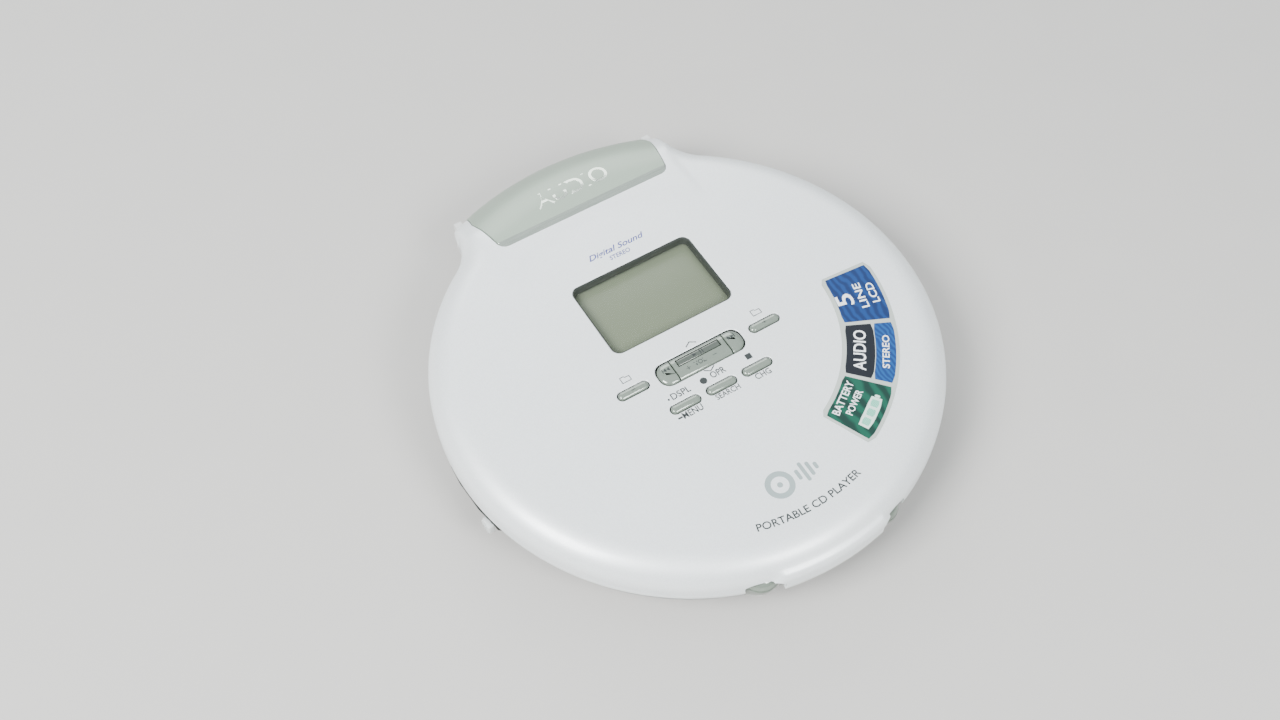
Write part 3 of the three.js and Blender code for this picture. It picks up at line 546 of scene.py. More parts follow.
def ledge_share(off_rear):
    """How far the front ledge has grown, from 0 to 1, at an angle off the rear."""
    return min(1.0, max(0.0, (off_rear - 180 + LEDGE_HALF + LEDGE_EASE) / LEDGE_EASE))


def edge_radius(off_rear):
    """Plan radius of the lid's edge at an angle, in degrees, off the rear."""
    if off_rear > 140:
        return BODY_R + (LEDGE_R - BODY_R) * ledge_share(off_rear)
    if off_rear >= HUMP_TOE:
        return BODY_R
    for (a0, r0), (a1, r1) in zip(HUMP_EDGE, HUMP_EDGE[1:]):
        if a0 <= off_rear <= a1:
            return r0 + (r1 - r0) * (off_rear - a0) / (a1 - a0)
    return HUMP_EDGE[0][1]


def hump_roll(x, y):
    """Height of the hump's top, level in front and rolling down to the rear."""
    reach = math.hypot(x, y - HUMP_CENTRE_Y)
    start = HUMP_ARC - HUMP_ROLL
    front = max(0.0, HUMP_FRONT_R - reach) * 0.12
    if reach <= start:
        return HUMP_TOP - front
    share = min(1.0, (reach - start) / HUMP_ROLL)
    return HUMP_ROLL_Z + (HUMP_TOP - HUMP_ROLL_Z) * math.sqrt(max(0.0, 1 - share * share))


def lid_z(x, y):
    """Height of the lid's outer surface over a point of the plan."""
    r = math.hypot(x, y)
    off_rear = abs(math.degrees(math.atan2(x, y)))
    edge = BODY_R
    if off_rear < HUMP_TOE:
        edge = edge_radius(off_rear)
        if off_rear < HUMP_NECK:
            neck = edge_radius(HUMP_NECK)
            edge = BODY_R + (neck - BODY_R) * max(0.0, (off_rear - 14) / (HUMP_NECK - 14))
    dome = TOP_Z - DOME_SAG * (min(r, DOME_R + 3) / DOME_R) ** 2
    body = SHOULDER_Z + (dome - SHOULDER_Z) * ellipse_drop(edge - r, SHOULDER_W)
    if r > edge:
        body = LID_BOTTOM - 6
    share = ledge_share(off_rear)
    if share > 0 and r > 58:
        body = max(body, LID_BOTTOM + EDGE_BAND)
        rise = min(24.0, LEDGE_LEVEL + 0.5 * (LEDGE_R - 1.0 - r))
        ledge = rise - 1.8 * (1 - ellipse_drop(LEDGE_R - r, LEDGE_ROLL))
        return body + (smooth_max(body, ledge, 0.7) - body) * share
    if y < 30 or abs(x) > 40:
        return body
    flank = FLANK_X + 0.05 * max(0.0, 70 - y)
    side = SHOULDER_Z + (HUMP_TOP - SHOULDER_Z) * ellipse_drop(flank - abs(x), FLANK_W)
    if abs(x) > flank:
        side = LID_BOTTOM - 6
    hump = smooth_min(hump_roll(x, y), side, 0.8)
    return smooth_max(body, hump, 0.5)


# ---------------------------------------------------------------- lid pieces
TOP_ROWS = 34
ARC_ROWS = 14
BAND_ROWS = 3
SKIN_STEPS = 600


def roll_width(off_rear):
    """Plan width of the rolled edge at an angle off the rear."""
    if off_rear < 20:
        return HUMP_ROLL
    if off_rear > 27:
        return SHOULDER_W
    return HUMP_ROLL + (SHOULDER_W - HUMP_ROLL) * (off_rear - 20) / 7


def skin_point(row, angle):
    """Place of one point of the lid's skin, by its row from the centre and its direction."""
    dx, dy = math.cos(angle), math.sin(angle)
    off_rear = abs(math.degrees(math.atan2(dx, dy)))
    edge = edge_radius(off_rear)
    width = roll_width(off_rear)
    start = edge - width
    if row <= TOP_ROWS:
        r = start * (row / TOP_ROWS) ** 0.8
    elif row <= TOP_ROWS + ARC_ROWS:
        turn = math.radians(90 * (1 - (row - TOP_ROWS) / ARC_ROWS))
        r = start + width * math.cos(turn)
    else:
        share = (row - TOP_ROWS - ARC_ROWS) / BAND_ROWS
        rim = max(LID_BOTTOM + EDGE_BAND, skin_point(TOP_ROWS + ARC_ROWS, angle).z)
        return Vector((edge * dx, edge * dy, rim + (LID_BOTTOM - rim) * share))
    r = min(r, edge - 0.002)
    z = max(lid_z(r * dx, r * dy), LID_BOTTOM + EDGE_BAND)
    if row == TOP_ROWS + ARC_ROWS:
        z = min(z, SHOULDER_Z + (1.0 if off_rear > 140 and edge > BODY_R + 0.5 else 0.1))
    return Vector((r * dx, r * dy, z))


def lid_surface():
    """The lid's outer skin, spun flat and then drawn to its form, with its wall."""
    bm = bmesh.new()
    rows = TOP_ROWS + ARC_ROWS + BAND_ROWS
    verts = [bm.verts.new((float(k), 0, 0)) for k in range(rows + 1)]
    edges = [bm.edges.new(pair) for pair in zip(verts, verts[1:])]
    full_spin(bm, verts, edges, SKIN_STEPS)
    bmesh.ops.remove_doubles(bm, verts=bm.verts, dist=1e-4)
    for v in bm.verts:
        row = round(v.co.xy.length)
        v.co = skin_point(row, math.atan2(v.co.y, v.co.x))
    bmesh.ops.recalc_face_normals(bm, faces=bm.faces)
    if sum(f.normal.z for f in bm.faces) < 0:
        bmesh.ops.reverse_faces(bm, faces=bm.faces)
    bmesh.ops.solidify(bm, geom=bm.faces, thickness=SKIN)
    return bm


def plate_outline(grow):
    """Plan of the rear plate: straight front, flared sides and an arc at the rear."""
    front = PLATE_LOW.y - grow
    arc = HUMP_ARC - PLATE_INSET + grow
    half = PLATE_REAR_HALF + grow
    side = [(24.6, front), (25.7, front + 0.2), (26.6, front + 0.8), (27.1 + grow, front + 2.0),
            (29.3 + grow, 66.0), (half, HUMP_CENTRE_Y + math.sqrt(arc ** 2 - half ** 2))]
    rear = []
    for i in range(1, 24):
        x = half * (1 - i / 12)
        rear.append((x, HUMP_CENTRE_Y + math.sqrt(arc ** 2 - x * x)))
    return side + rear + [(-x, y) for x, y in reversed(side)]


def plate_solid(grow, top, depth, bevel):
    """The rear plate's body: its plan cut into strips and bent over the hump."""
    bm = bmesh.new()
    verts = [bm.verts.new((x, y, 0)) for x, y in plate_outline(grow)]
    bm.faces.new(verts)
    low = PLATE_LOW - Vector((2, 2, 0))
    high = PLATE_HIGH + Vector((2, 2, 0))
    lines = [(Vector((0, low.y + i, 0)), Vector((0, 1, 0))) for i in range(int(high.y - low.y))]
    lines += [(Vector((low.x + 1.5 * i, 0, 0)), Vector((1, 0, 0)))
              for i in range(int((high.x - low.x) / 1.5))]
    if bevel:
        lines.append((Vector((0, PLATE_LOW.y + bevel, 0)), Vector((0, 1, 0))))
    for point, normal in lines:
        bmesh.ops.bisect_plane(
            bm, geom=bm.verts[:] + bm.edges[:] + bm.faces[:], dist=1e-5, plane_co=point, plane_no=normal)
    bmesh.ops.recalc_face_normals(bm, faces=bm.faces)
    if bm.faces[0].normal.z < 0:
        bmesh.ops.reverse_faces(bm, faces=bm.faces)
    lower = bmesh.ops.duplicate(bm, geom=bm.verts[:] + bm.edges[:] + bm.faces[:])["geom"]
    lower_verts = {v for v in lower if isinstance(v, bmesh.types.BMVert)}
    lower_faces = [f for f in lower if isinstance(f, bmesh.types.BMFace)]
    bmesh.ops.reverse_faces(bm, faces=lower_faces)
    for v in bm.verts:
        drop = 0.0
        if v in lower_verts:
            drop = depth
        elif bevel:
            drop = max(0.0, PLATE_LOW.y + bevel - v.co.y) * 0.62
        v.co.z = hump_roll(v.co.x, max(v.co.y, 57.0)) + top - drop
    open_edges = [e for e in bm.edges if e.is_boundary]
    bmesh.ops.bridge_loops(bm, edges=open_edges)
    bmesh.ops.recalc_face_normals(bm, faces=bm.faces)
    return bm


KEYS = ["display_key", "search_key", "stop_key", "folder_back_key", "folder_next_key"]
UNDER_SKIN = 20


def flared(bm, outline_at, top):
    """Adds a cutting tool with a small chamfer where it leaves the lid's surface."""
    chamfer = 0.5
    loft(bm, [at_height(outline_at(0.0), UNDER_SKIN), at_height(outline_at(0.0), top - 0.22),
              at_height(outline_at(chamfer), top + 0.28), at_height(outline_at(chamfer), top + 3)])


def window_outline(grow):
    corner = 2.5 + grow
    return rounded(WINDOW_LOW.x - grow, WINDOW_HIGH.x + grow, WINDOW_LOW.y - grow, WINDOW_HIGH.y + grow,
                   corner, corner)


def bar_box():
    """Sides and top of the control bar, from its two end keys."""
    low = local_box("skip_back_key")[0]
    high = local_box("skip_forward_key")[1]
    return low.x, high.x, low.y, high.y, high.z


def cap_box(node):
    """The box of a key's cap, without the flange that holds it in the lid."""
    low, high = local_box(node)
    flange = 0.8
    return low.x + flange, high.x - flange, low.y + flange, high.y - flange, high.z


def around(box, radius):
    """An outline that clears a key's box, as a function of how far it grows."""
    x0, x1, y0, y1 = box
    return lambda grow: rounded(x0 - GAP - grow, x1 + GAP + grow, y0 - GAP - grow, y1 + GAP + grow,
                                radius + grow, radius + grow)


def lid_holes():
    """The cutting tool for the window, the keys and the control bar; its upright walls take the dark bezel
    colour, painted shade in the key gaps.
    """
    bm = bmesh.new()
    flared(bm, window_outline, TOP_Z - 0.06)
    for node in KEYS:
        x0, x1, y0, y1, _ = cap_box(node)
        radius = (y1 - y0) / 2 - 0.01
        flared(bm, around((x0, x1, y0, y1), radius + GAP), TOP_Z - 0.02)
    x0, x1, y0, y1, _ = bar_box()
    flared(bm, around((x0, x1, y0, y1), BAR_CORNER), TOP_Z - 0.01)
    bm.normal_update()
    # upright walls take the dark bezel colour: a real dark frame round the window, painted shade in the gaps
    # round the keys and the bar
    for face in bm.faces:
        face.material_index = int(abs(face.normal.z) < 0.2)
    return bm


# ---------------------------------------------------------------- outlines and marks
def lay(bm, height, thick=0.03):
    """Lays a flat figure on a surface and gives it a little thickness."""
    for v in bm.verts:
        v.co.z = height(v.co.x, v.co.y)
    bmesh.ops.recalc_face_normals(bm, faces=bm.faces)
    for face in bm.faces[:]:
        if face.normal.z < 0:
            face.normal_flip()
    bmesh.ops.solidify(bm, geom=bm.faces, thickness=thick)
    return bm


def band(bm, points, width, closed=False):
    """A flat line of even width through points."""
    count = len(points)
    sides = []
    for i, (x, y) in enumerate(points):
        before = Vector(points[(i - 1) % count]) if closed or i else Vector(points[i])
        after = Vector(points[(i + 1) % count]) if closed or i < count - 1 else Vector(points[i])
        here = Vector((x, y))
        first = (here - before).normalized() if here != before else (after - here).normalized()
        second = (after - here).normalized() if after != here else first
        across = (first + second).normalized().orthogonal()
        reach = width / 2 / max(0.35, abs(across.dot(first.orthogonal())))
        sides.append([bm.verts.new((*(here + across * share), 0)) for share in (reach, -reach)])
    pairs = list(zip(sides, sides[1:])) + ([(sides[-1], sides[0])] if closed else [])
    for (a, b), (c, d) in pairs:
        bm.faces.new((a, b, d, c))


def ring_points(x, y, radius):
    turns = [2 * math.pi * i / 40 for i in range(40)]
    return [(x + radius * math.cos(a), y + radius * math.sin(a)) for a in turns]


def patch(bm, points):
    bm.faces.new([bm.verts.new((x, y, 0)) for x, y in points])


def spot(bm, x, y, radius, segments):
    bmesh.ops.create_circle(bm, cap_ends=True, segments=segments, radius=radius,
                            matrix=Matrix.Translation((x, y, 0)))


def lettering(bm, body, size, place, turn=0.0, width=None, slant=0.0, arc=None):
    """Adds plain letters, centred on a place, turned, and bent around the spindle where asked."""
    curve = bpy.data.curves.new("letters", "FONT")
    curve.body = body
    curve.size = size
    curve.shear = slant
    curve.offset = size * 0.012
    curve.align_x = "CENTER"
    curve.align_y = "CENTER"
    curve.resolution_u = 4
    holder = bpy.data.objects.new("letters", curve)
    bpy.context.scene.collection.objects.link(holder)
    bpy.context.view_layer.update()
    mesh = bpy.data.meshes.new_from_object(holder)
    bpy.data.objects.remove(holder)
    part = bmesh.new()
    part.from_mesh(mesh)
    bmesh.ops.remove_doubles(part, verts=part.verts, dist=1e-5)
    if width:
        span = max(v.co.x for v in part.verts) - min(v.co.x for v in part.verts)
        bmesh.ops.scale(part, vec=(width / span, 1, 1), verts=part.verts)
    for v in part.verts:
        if arc:
            a = -math.pi / 2 + v.co.x / arc
            r = arc - v.co.y
            v.co = Vector((r * math.cos(a), r * math.sin(a), 0))
        else:
            turned = Matrix.Rotation(turn, 4, "Z") @ v.co
            v.co = Vector((turned.x + place[0], turned.y + place[1], 0))
    part.to_mesh(mesh)
    part.free()
    bm.from_mesh(mesh)


def on_lid(x, y):
    lift = bpy.context.scene.player_sizes.print_lift / MM
    return lid_z(x, y) + lift


# ---------------------------------------------------------------- lid
class PLAYER_OT_lid(bpy.types.Operator):
    """Lid: the lacquered skin with its openings, the hinge ears and the inner cover"""

    bl_idname = "player.lid"
    bl_label = "Lid"

    def execute(self, context):
        # the lid's second slot, the dark bezel, colours the hole walls: painted shade in the key gaps
        skin = finish("lid_skin", lid_surface(), "lid", ["lacquer", "bezel"], ["lid_shell"],
                      32)
        cut(skin, lid_holes(), sharp=32)
        cut(skin, plate_solid(0.22, 0.6, 2.6, 0), sharp=32)
        tool = bmesh.new()
        for direction in OPEN_DIRECTIONS:
            half = OPEN_HALF + 0.5
            turns = [math.pi * i / 16 for i in range(17)]
            arch = [(half * math.cos(a), 16.0 + 1.7 * math.sin(a)) for a in turns]
            outline = [(half, 10)] + arch + [(-half, 10)]
            turn = Matrix.Rotation(math.radians(direction), 3, "Z")
            loft(tool, [[turn @ Vector((r, a, z)) for a, z in outline] for r in (65.4, 75)])
        cut(skin, tool, sharp=32, crossing=True)
        bm = bmesh.new()
        for x0 in (30.15, -32.35):
            foot = arc_points(HINGE_Y, HINGE_Z, EAR_R, 180, 16)
            side = foot + [(72.6, 17.4), (65.4, 17.4)]
            loft(bm, [[(x, y, z) for y, z in side] for x in (x0, x0 + 2.2)])
        ears = finish("hinge_ears", bm, "lid", ["inner"])
        bore = bmesh.new()
        level_rod(bore, PIN_R, -45, 45, HINGE_Y, HINGE_Z, 32)
        cut(ears, bore)
        bm = bmesh.new()
        section = [(0, 19.15), (8.6, 19.15), (9.0, 18.75), (20, 18.75), (20.3, 18.95), (20.9, 18.95),
                   (21.2, 18.75), (57, 18.75), (57.3, 18.95), (58, 18.95), (58.3, 18.75), (61.4, 18.75),
                   (61.9, 19.2), (61.9, 19.65), (0, 19.65)]
        finish("inner_cover", spun(bm, section), "lid", ["inner"], ["lid_inner_cover"], 40)
        return {"FINISHED"}


class PLAYER_OT_plate(bpy.types.Operator):
    """Plate: the satin plate on the hump with its polished front bevel and raised word"""

    bl_idname = "player.plate"
    bl_label = "Plate"

    def execute(self, context):
        bevel = context.scene.player_sizes.plate_bevel / MM
        plate = finish("hump_plate", plate_solid(0, PLATE_RISE, 1.6, bevel), "lid",
                       ["plate", "plate_edge"], ["rear_plate"], 20)
        for face in plate.data.polygons:
            y = (face.center.y - SPINDLE.y) / MM
            if face.normal.z > 0.2 and y < PLATE_LOW.y + bevel:
                face.material_index = 1
        rim = plate.modifiers.new("rim", "BEVEL")
        rim.width = 0.00025
        rim.segments = 2
        rim.angle_limit = math.radians(55)
        bm = bmesh.new()
        lettering(bm, "AUDIO", 7.6, (0.3, 61.2), width=23)
        lay(bm, lambda x, y: hump_roll(x, y) + PLATE_RISE + 0.02, 0.12)
        word = finish("plate_word", bm, "lid", ["plate_edge"], sharp=30)
        soften = word.modifiers.new("soft", "BEVEL")
        soften.width = 0.00004
        soften.segments = 1
        return {"FINISHED"}


class PLAYER_OT_prints(bpy.types.Operator):
    """Prints: key legends, small icons and lines of plain letters on the lid"""

    bl_idname = "player.prints"
    bl_label = "Prints"

    def execute(self, context):
        bm = bmesh.new()
        for body, size, place, width in (
                ("DSPL", 2.7, (-10.4, -13.15), 5.6), ("MENU", 2.7, (-10.6, -19.5), 5.9),
                ("OPR", 2.7, (1.2, -12.9), 4.4), ("SEARCH", 2.3, (0.3, -19.3), 7.2),
                ("CHG", 2.5, (11.1, -19.4), 4.6)):
            lettering(bm, body, size, place, width=width)
        lettering(bm, "PORTABLE CD PLAYER", 2.9, (0, 0), width=31, arc=57.6)
        spot(bm, -3.3, -13.1, 1.0, 28)
        spot(bm, -14.0, -13.3, 0.3, 16)
        patch(bm, rounded(-15.0, -13.7, -19.7, -19.2, 0.05, 0.05, 2))
        patch(bm, rounded(10.0, 11.7, -13.7, -12.0, 0.1, 0.1, 2))
        for foot, tip in ((-1.9, -0.9), (-10.5, -11.5)):
            band(bm, [(-1.6, foot), (0, tip), (1.6, foot)], 0.28)
        for x in (-20.2, 20.4):
            folder = [(x - 1.3, -2.9), (x + 1.3, -2.9), (x + 1.3, -1.5), (x + 0.1, -1.5), (x - 0.2, -1.1),
                      (x - 1.3, -1.1)]
            band(bm, folder, 0.2, closed=True)
        finish("grey_prints", lay(bm, on_lid), "lid", ["ink_grey"])
        bm = bmesh.new()
        lettering(bm, "Digital Sound", 2.7, (-0.4, 36.5), width=17.6, slant=0.4)
        lettering(bm, "STEREO", 2.0, (-0.4, 33.8), width=6.4, slant=0.2)
        finish("blue_prints", lay(bm, on_lid), "lid", ["ink_blue"])
        bm = bmesh.new()
        band(bm, ring_points(-3.6, -48.6, 3.1), 1.5, closed=True)
        spot(bm, -3.6, -48.6, 0.75, 28)
        for i, tall in enumerate((1.5, 2.9, 2.1, 1.0)):
            x = 1.4 + 1.75 * i
            patch(bm, rounded(x, x + 1.0, -48.6 - tall, -48.6 + tall, 0.45, 0.45, 6))
        finish("pale_icon", lay(bm, on_lid), "lid", ["ink_pale"])
        return {"FINISHED"}


def sector(bm, r0, r1, a0, a1, corner, steps, rows):
    """Adds a flat piece of a ring between two radii and two angles in degrees, its corners eased."""
    bmesh.ops.create_grid(bm, x_segments=steps, y_segments=rows, size=1.0)
    for v in bm.verts:
        if v.tag:
            continue
        u, w = (v.co.x + 1) / 2, (v.co.y + 1) / 2
        r = r0 + (r1 - r0) * w
        trim = corner * max(0.0, 1 - 4 * min(u, 1 - u) * steps / 12) * (abs(w - 0.5) * 2) ** 6
        a = math.radians(a0 + (a1 - a0) * u)
        r -= trim * (1 if w > 0.5 else -1)
        v.co = Vector((r * math.cos(a), r * math.sin(a), 0))
        v.tag = True


class PLAYER_OT_label(bpy.types.Operator):
    """Label: the curved film with its three printed fields and plain marks"""

    bl_idname = "player.label"
    bl_label = "Label"

    def execute(self, context):
        def level(lift):
            return lambda x, y: lid_z(x, y) + lift

        bm = bmesh.new()
        sector(bm, 40.7, 55.8, -66.1, -3.3, 1.0, 80, 10)
        finish("label_film", lay(bm, level(0.1), 0.06), "lid", ["film_border"], ["lid_label"])
        for colour, r0, r1, a0, a1 in (
                ("blue", 41.9, 54.9, -24.0, -4.4), ("black", 41.9, 49.4, -45.7, -25.4),
                ("sky", 49.6, 54.9, -45.7, -25.4), ("green", 41.9, 54.9, -65.1, -47.1)):
            bm = bmesh.new()
            sector(bm, r0, r1, a0, a1, 0.4, 24, 8)
            finish("label_" + colour, lay(bm, level(0.13), 0.03), "lid", ["film_" + colour])
        bm = bmesh.new()
        for body, size, radius, angle, width in (
                ("5", 6.6, 44.6, -14.6, 3.8), ("LINE", 3.0, 49.2, -14.4, 8.2), ("LCD", 3.0, 52.6, -14.3, 6.6),
                ("AUDIO", 4.6, 45.5, -35.5, 12.6), ("STEREO", 2.6, 52.3, -35.5, 10.4),
                ("BATTERY", 2.9, 43.8, -56.1, 11.0), ("POWER", 2.7, 46.9, -56.1, 8.0)):
            a = math.radians(angle)
            lettering(bm, body, size, (radius * math.cos(a), radius * math.sin(a)), a + math.pi / 2, width)
        finish("label_words", lay(bm, level(0.16)), "lid", ["ink_white"])
        bm = bmesh.new()
        cells = bmesh.new()
        for r0, r1, a0, a1 in ((50.0, 53.4, -62.5, -51.8), (51.0, 52.4, -51.7, -50.9)):
            sector(bm, r0, r1, a0, a1, 0.3, 12, 4)
        for i in range(3):
            sector(cells, 50.6, 52.8, -61.7 + 3.3 * i, -59.3 + 3.3 * i, 0.2, 6, 3)
        finish("label_battery", lay(bm, level(0.16)), "lid", ["film_pale"])
        finish("label_cells", lay(cells, level(0.19)), "lid", ["film_mint"])
        return {"FINISHED"}


# ---------------------------------------------------------------- keys
def crowned(bm, box, corners, low, top, rolls, drop):
    """A key cap whose top rolls down to its sides over the widths given for left, right and along y."""
    x0, x1, y0, y1 = box
    roll_left, roll_right, roll_y = rolls
    loops = [at_height(rounded(x0, x1, y0, y1, *corners), low)]
    for i in range(9):
        a = math.pi / 2 * i / 8
        inset = 1 - math.cos(a)
        shrink = [max(0.04, c - min(roll_y, 1.2) * inset) for c in corners]
        left, right = x0 + roll_left * inset, x1 - roll_right * inset
        front, rear = y0 + roll_y * inset, y1 - roll_y * inset
        loops.append(at_height(rounded(left, right, front, rear, *shrink), top - drop * (1 - math.sin(a))))
    loft(bm, loops)


class PLAYER_OT_keys(bpy.types.Operator):
    """Keys: the five pill keys, the rocker with its centre strip, the two end keys and their marks"""

    bl_idname = "player.keys"
    bl_label = "Keys"

    def execute(self, context):
        for node in KEYS:
            x0, x1, y0, y1, top = cap_box(node)
            radius = (y1 - y0) / 2 - 0.01
            bm = bmesh.new()
            crowned(bm, (x0, x1, y0, y1), (radius, radius), top - 2.9, top, (1.1, 1.1, 1.1), 0.75)
            finish(node + "_cap", bm, node, ["smoke"], [node])
        x0, x1, y0, y1, top = bar_box()
        low, high = local_box("volume_rocker")
        bm = bmesh.new()
        crowned(bm, (low.x, high.x, y0, y1), (0.1, 0.1), low.z, top, (0.12, 0.12, 2.1), 1.0)
        rocker = finish("rocker_cap", bm, "volume_rocker", ["smoke"], ["volume_rocker"])
        strip_low, strip_high = local_box("play_key")
        room = Vector((0.25, 0.25, 0))
        low, high = strip_low - room, strip_high + room
        tool = bmesh.new()
        block(tool, low.x, high.x, low.y, high.y, top - 1.5, top + 2)
        cut(rocker, tool)
        bm = bmesh.new()
        crowned(bm, (strip_low.x, strip_high.x, strip_low.y, strip_high.y), (0.3, 0.3), strip_low.z,
                top + 0.08, (0.3, 0.3, 0.5), 0.3)
        finish("play_strip", bm, "play_key", ["smoke_dark"], ["play_key"])
        for node, corners, rolls in (("skip_back_key", (BAR_CORNER, 0.1), (2.0, 0.12, 2.1)),
                                     ("skip_forward_key", (0.1, BAR_CORNER), (0.12, 2.0, 2.1))):
            low, high = local_box(node)
            bm = bmesh.new()
            crowned(bm, (low.x, high.x, y0, y1), corners, low.z, top, rolls, 1.0)
            finish(node + "_cap", bm, node, ["smoke"], [node])
        self.marks(top, strip_low, strip_high)
        return {"FINISHED"}

    @staticmethod
    def marks(top, strip_low, strip_high):
        """Play and pause, volume, skip and folder marks on the keys."""
        middle = (strip_low.y + strip_high.y) / 2
        bm = bmesh.new()
        patch(bm, [(-1.7, middle - 0.6), (-0.5, middle), (-1.7, middle + 0.6)])
        for x in (0.5, 1.2):
            patch(bm, rounded(x, x + 0.3, middle - 0.6, middle + 0.6, 0.04, 0.04, 2))
        finish("play_marks", lay(bm, lambda x, y: top + 0.085), "play_key", ["ink_grey"])
        bm = bmesh.new()
        lettering(bm, "VOL", 1.9, (-1.0, -7.9), width=3.4)
        patch(bm, rounded(2.9, 4.1, -8.0, -7.75, 0.05, 0.05, 2))
        patch(bm, rounded(-5.2, -4.0, -8.0, -7.75, 0.05, 0.05, 2))
        patch(bm, rounded(-4.72, -4.48, -8.5, -7.28, 0.05, 0.05, 2))
        lay(bm, lambda x, y: top + 0.005 - 0.02 * max(0.0, -7.5 - y))
        finish("volume_marks", bm, "volume_rocker", ["ink_grey"])
        for node, side in (("skip_back_key", -1), ("skip_forward_key", 1)):
            bm = bmesh.new()
            for x in (9.0, 10.0):
                patch(bm, [(side * x, -6.1), (side * (x + 0.9), -5.5), (side * x, -4.9)])
            bar = [(10.95, -6.1), (11.15, -6.1), (11.15, -4.9), (10.95, -4.9)]
            patch(bm, [(side * x, y) for x, y in bar])
            finish(node + "_marks", lay(bm, lambda x, y: top + 0.004), node, ["ink_grey"])
        for node, bars in (("folder_back_key", 1), ("folder_next_key", 2)):
            x0, x1, y0, y1, crest = cap_box(node)
            x, y = (x0 + x1) / 2, (y0 + y1) / 2
            bm = bmesh.new()
            patch(bm, rounded(x - 0.6, x + 0.6, y - 0.1, y + 0.1, 0.03, 0.03, 2))
            if bars == 2:
                patch(bm, rounded(x - 0.1, x + 0.1, y + 0.11, y + 0.32, 0.03, 0.03, 2))
                patch(bm, rounded(x - 0.1, x + 0.1, y - 0.32, y - 0.11, 0.03, 0.03, 2))
            lay(bm, lambda u, v: crest + 0.004)
            finish(node + "_marks", bm, node, ["ink_grey"])


# ---------------------------------------------------------------- display
class PLAYER_OT_display(bpy.types.Operator):
    """Display: dark frame, liquid crystal and clear window"""

    bl_idname = "player.display"
    bl_label = "Display"

    def execute(self, context):
        bm = bmesh.new()
        top = TOP_Z - 0.5
        base = WINDOW_HIGH.z + 0.05
        rings = [at_height(window_outline(grow), z) for grow, z in
                 ((-0.06, base), (-0.06, top), (-0.35, top), (-0.55, top - 0.3), (-0.9, base))]
        loops = [[bm.verts.new(p) for p in ring] for ring in rings]
        for below, above in zip(loops, loops[1:] + loops[:1]):
            for i in range(len(below)):
                bm.faces.new((below[i - 1], below[i], above[i], above[i - 1]))
        bmesh.ops.recalc_face_normals(bm, faces=bm.faces)
        finish("display_frame", bm, "lid", ["bezel"], ["display_bezel"])
        low, high = local_box("lcd_panel")
        bm = bmesh.new()
        block(bm, low.x, high.x, low.y, high.y, low.z, high.z, 0.15)
        finish("display_crystal", bm, "lid", ["crystal"], ["lcd_panel"])
        bm = bmesh.new()
        loft(bm, [at_height(window_outline(-0.1), WINDOW_LOW.z),
                  at_height(window_outline(-0.1), WINDOW_HIGH.z - 0.1),
                  at_height(window_outline(-0.2), WINDOW_HIGH.z)])
        finish("display_glass", bm, "lid", ["clear"], ["display_window"])
        return {"FINISHED"}


# ---------------------------------------------------------------- base
CASE_SECTION = [(0, 0.8), (54.2, 0.8), (57.6, 1.0), (60.2, 1.75), (62.3, 2.9), (64, 4.3), (65.5, 6.1),
                (66.6, 8.1), (67.6, 10.6), (68.4, 13)]
CASE_ROOM = [(0, 2.2), (54.6, 2.2), (59.4, 3), (62.7, 5), (65.3, 8.4), (67, 14)]
BARREL_SIDE = [(48, 0.8), (70.2, 0.8), (71.6, 1.1), (72.8, 1.7), (73.7, 2.5), (74.6, 3.9), (75.2, 5.6),
               (75.45, 7.8), (75.4, 10.2), (74.9, 11.7), (73.9, 13), (48, 13)]
BAY_SIDE = [(58.6, 2.2), (73, 2.2), (74.2, 5.6), (74.3, 9.9), (72.8, 13.1), (72.8, 14), (58.6, 14)]


BARREL_HALF = 29.7
BAY_HALF = 27.2
HOUSING_HALF = 28.9
BOWL_STEPS = 192


def case_room(bm):
    """The hollow inside the lower case, cut flat in front of the battery barrel."""
    spun(bm, [*CASE_ROOM, (0, 14)], BOWL_STEPS)
    bmesh.ops.bisect_plane(bm, geom=bm.verts[:] + bm.edges[:] + bm.faces[:], dist=1e-5,
                           plane_co=(0, 57.6, 0), plane_no=(0, 1, 0), clear_outer=True)
    bmesh.ops.holes_fill(bm, edges=[e for e in bm.edges if e.is_boundary])


def drawn_along_x(bm, side, x0, x1):
    """Adds a side outline of (y, z) points drawn from one x to another."""
    loft(bm, [[(x, y, z) for y, z in side] for x in (x0, x1)])


def turn_about_spindle(bm, verts, degrees):
    turn = Matrix.Rotation(math.radians(degrees), 3, "Z")
    bmesh.ops.rotate(bm, verts=verts, cent=(0, 0, 0), matrix=turn)


def button_tool(inner, low, high):
    """Clearance blocks for the two open buttons."""
    tool = bmesh.new()
    for direction in OPEN_DIRECTIONS:
        turn_about_spindle(tool, block(tool, inner, 75, -BUTTON_ROOM, BUTTON_ROOM, low, high), direction)
    return tool


def rounded_edges(piece, width):
    """Finishes a piece's hard edges with a small round."""
    soft = piece.modifiers.new("edges", "BEVEL")
    soft.width = width
    soft.segments = 2
    soft.angle_limit = math.radians(40)
    soft.use_clamp_overlap = True
    soft.harden_normals = True


def upright_rod(bm, radius, low, high, x, y, segments=40):
    made = bmesh.ops.create_cone(bm, segments=segments, radius1=radius, radius2=radius, depth=high - low,
                                 cap_ends=True)["verts"]
    bmesh.ops.translate(bm, verts=made, vec=(x, y, (low + high) / 2))


def level_rod(bm, radius, x0, x1, y, z, segments=40):
    made = bmesh.ops.create_cone(bm, segments=segments, radius1=radius, radius2=radius, depth=x1 - x0,
                                 cap_ends=True)["verts"]
    bmesh.ops.rotate(bm, verts=made, cent=(0, 0, 0), matrix=Matrix.Rotation(math.pi / 2, 3, "Y"))
    bmesh.ops.translate(bm, verts=made, vec=((x0 + x1) / 2, y, z))


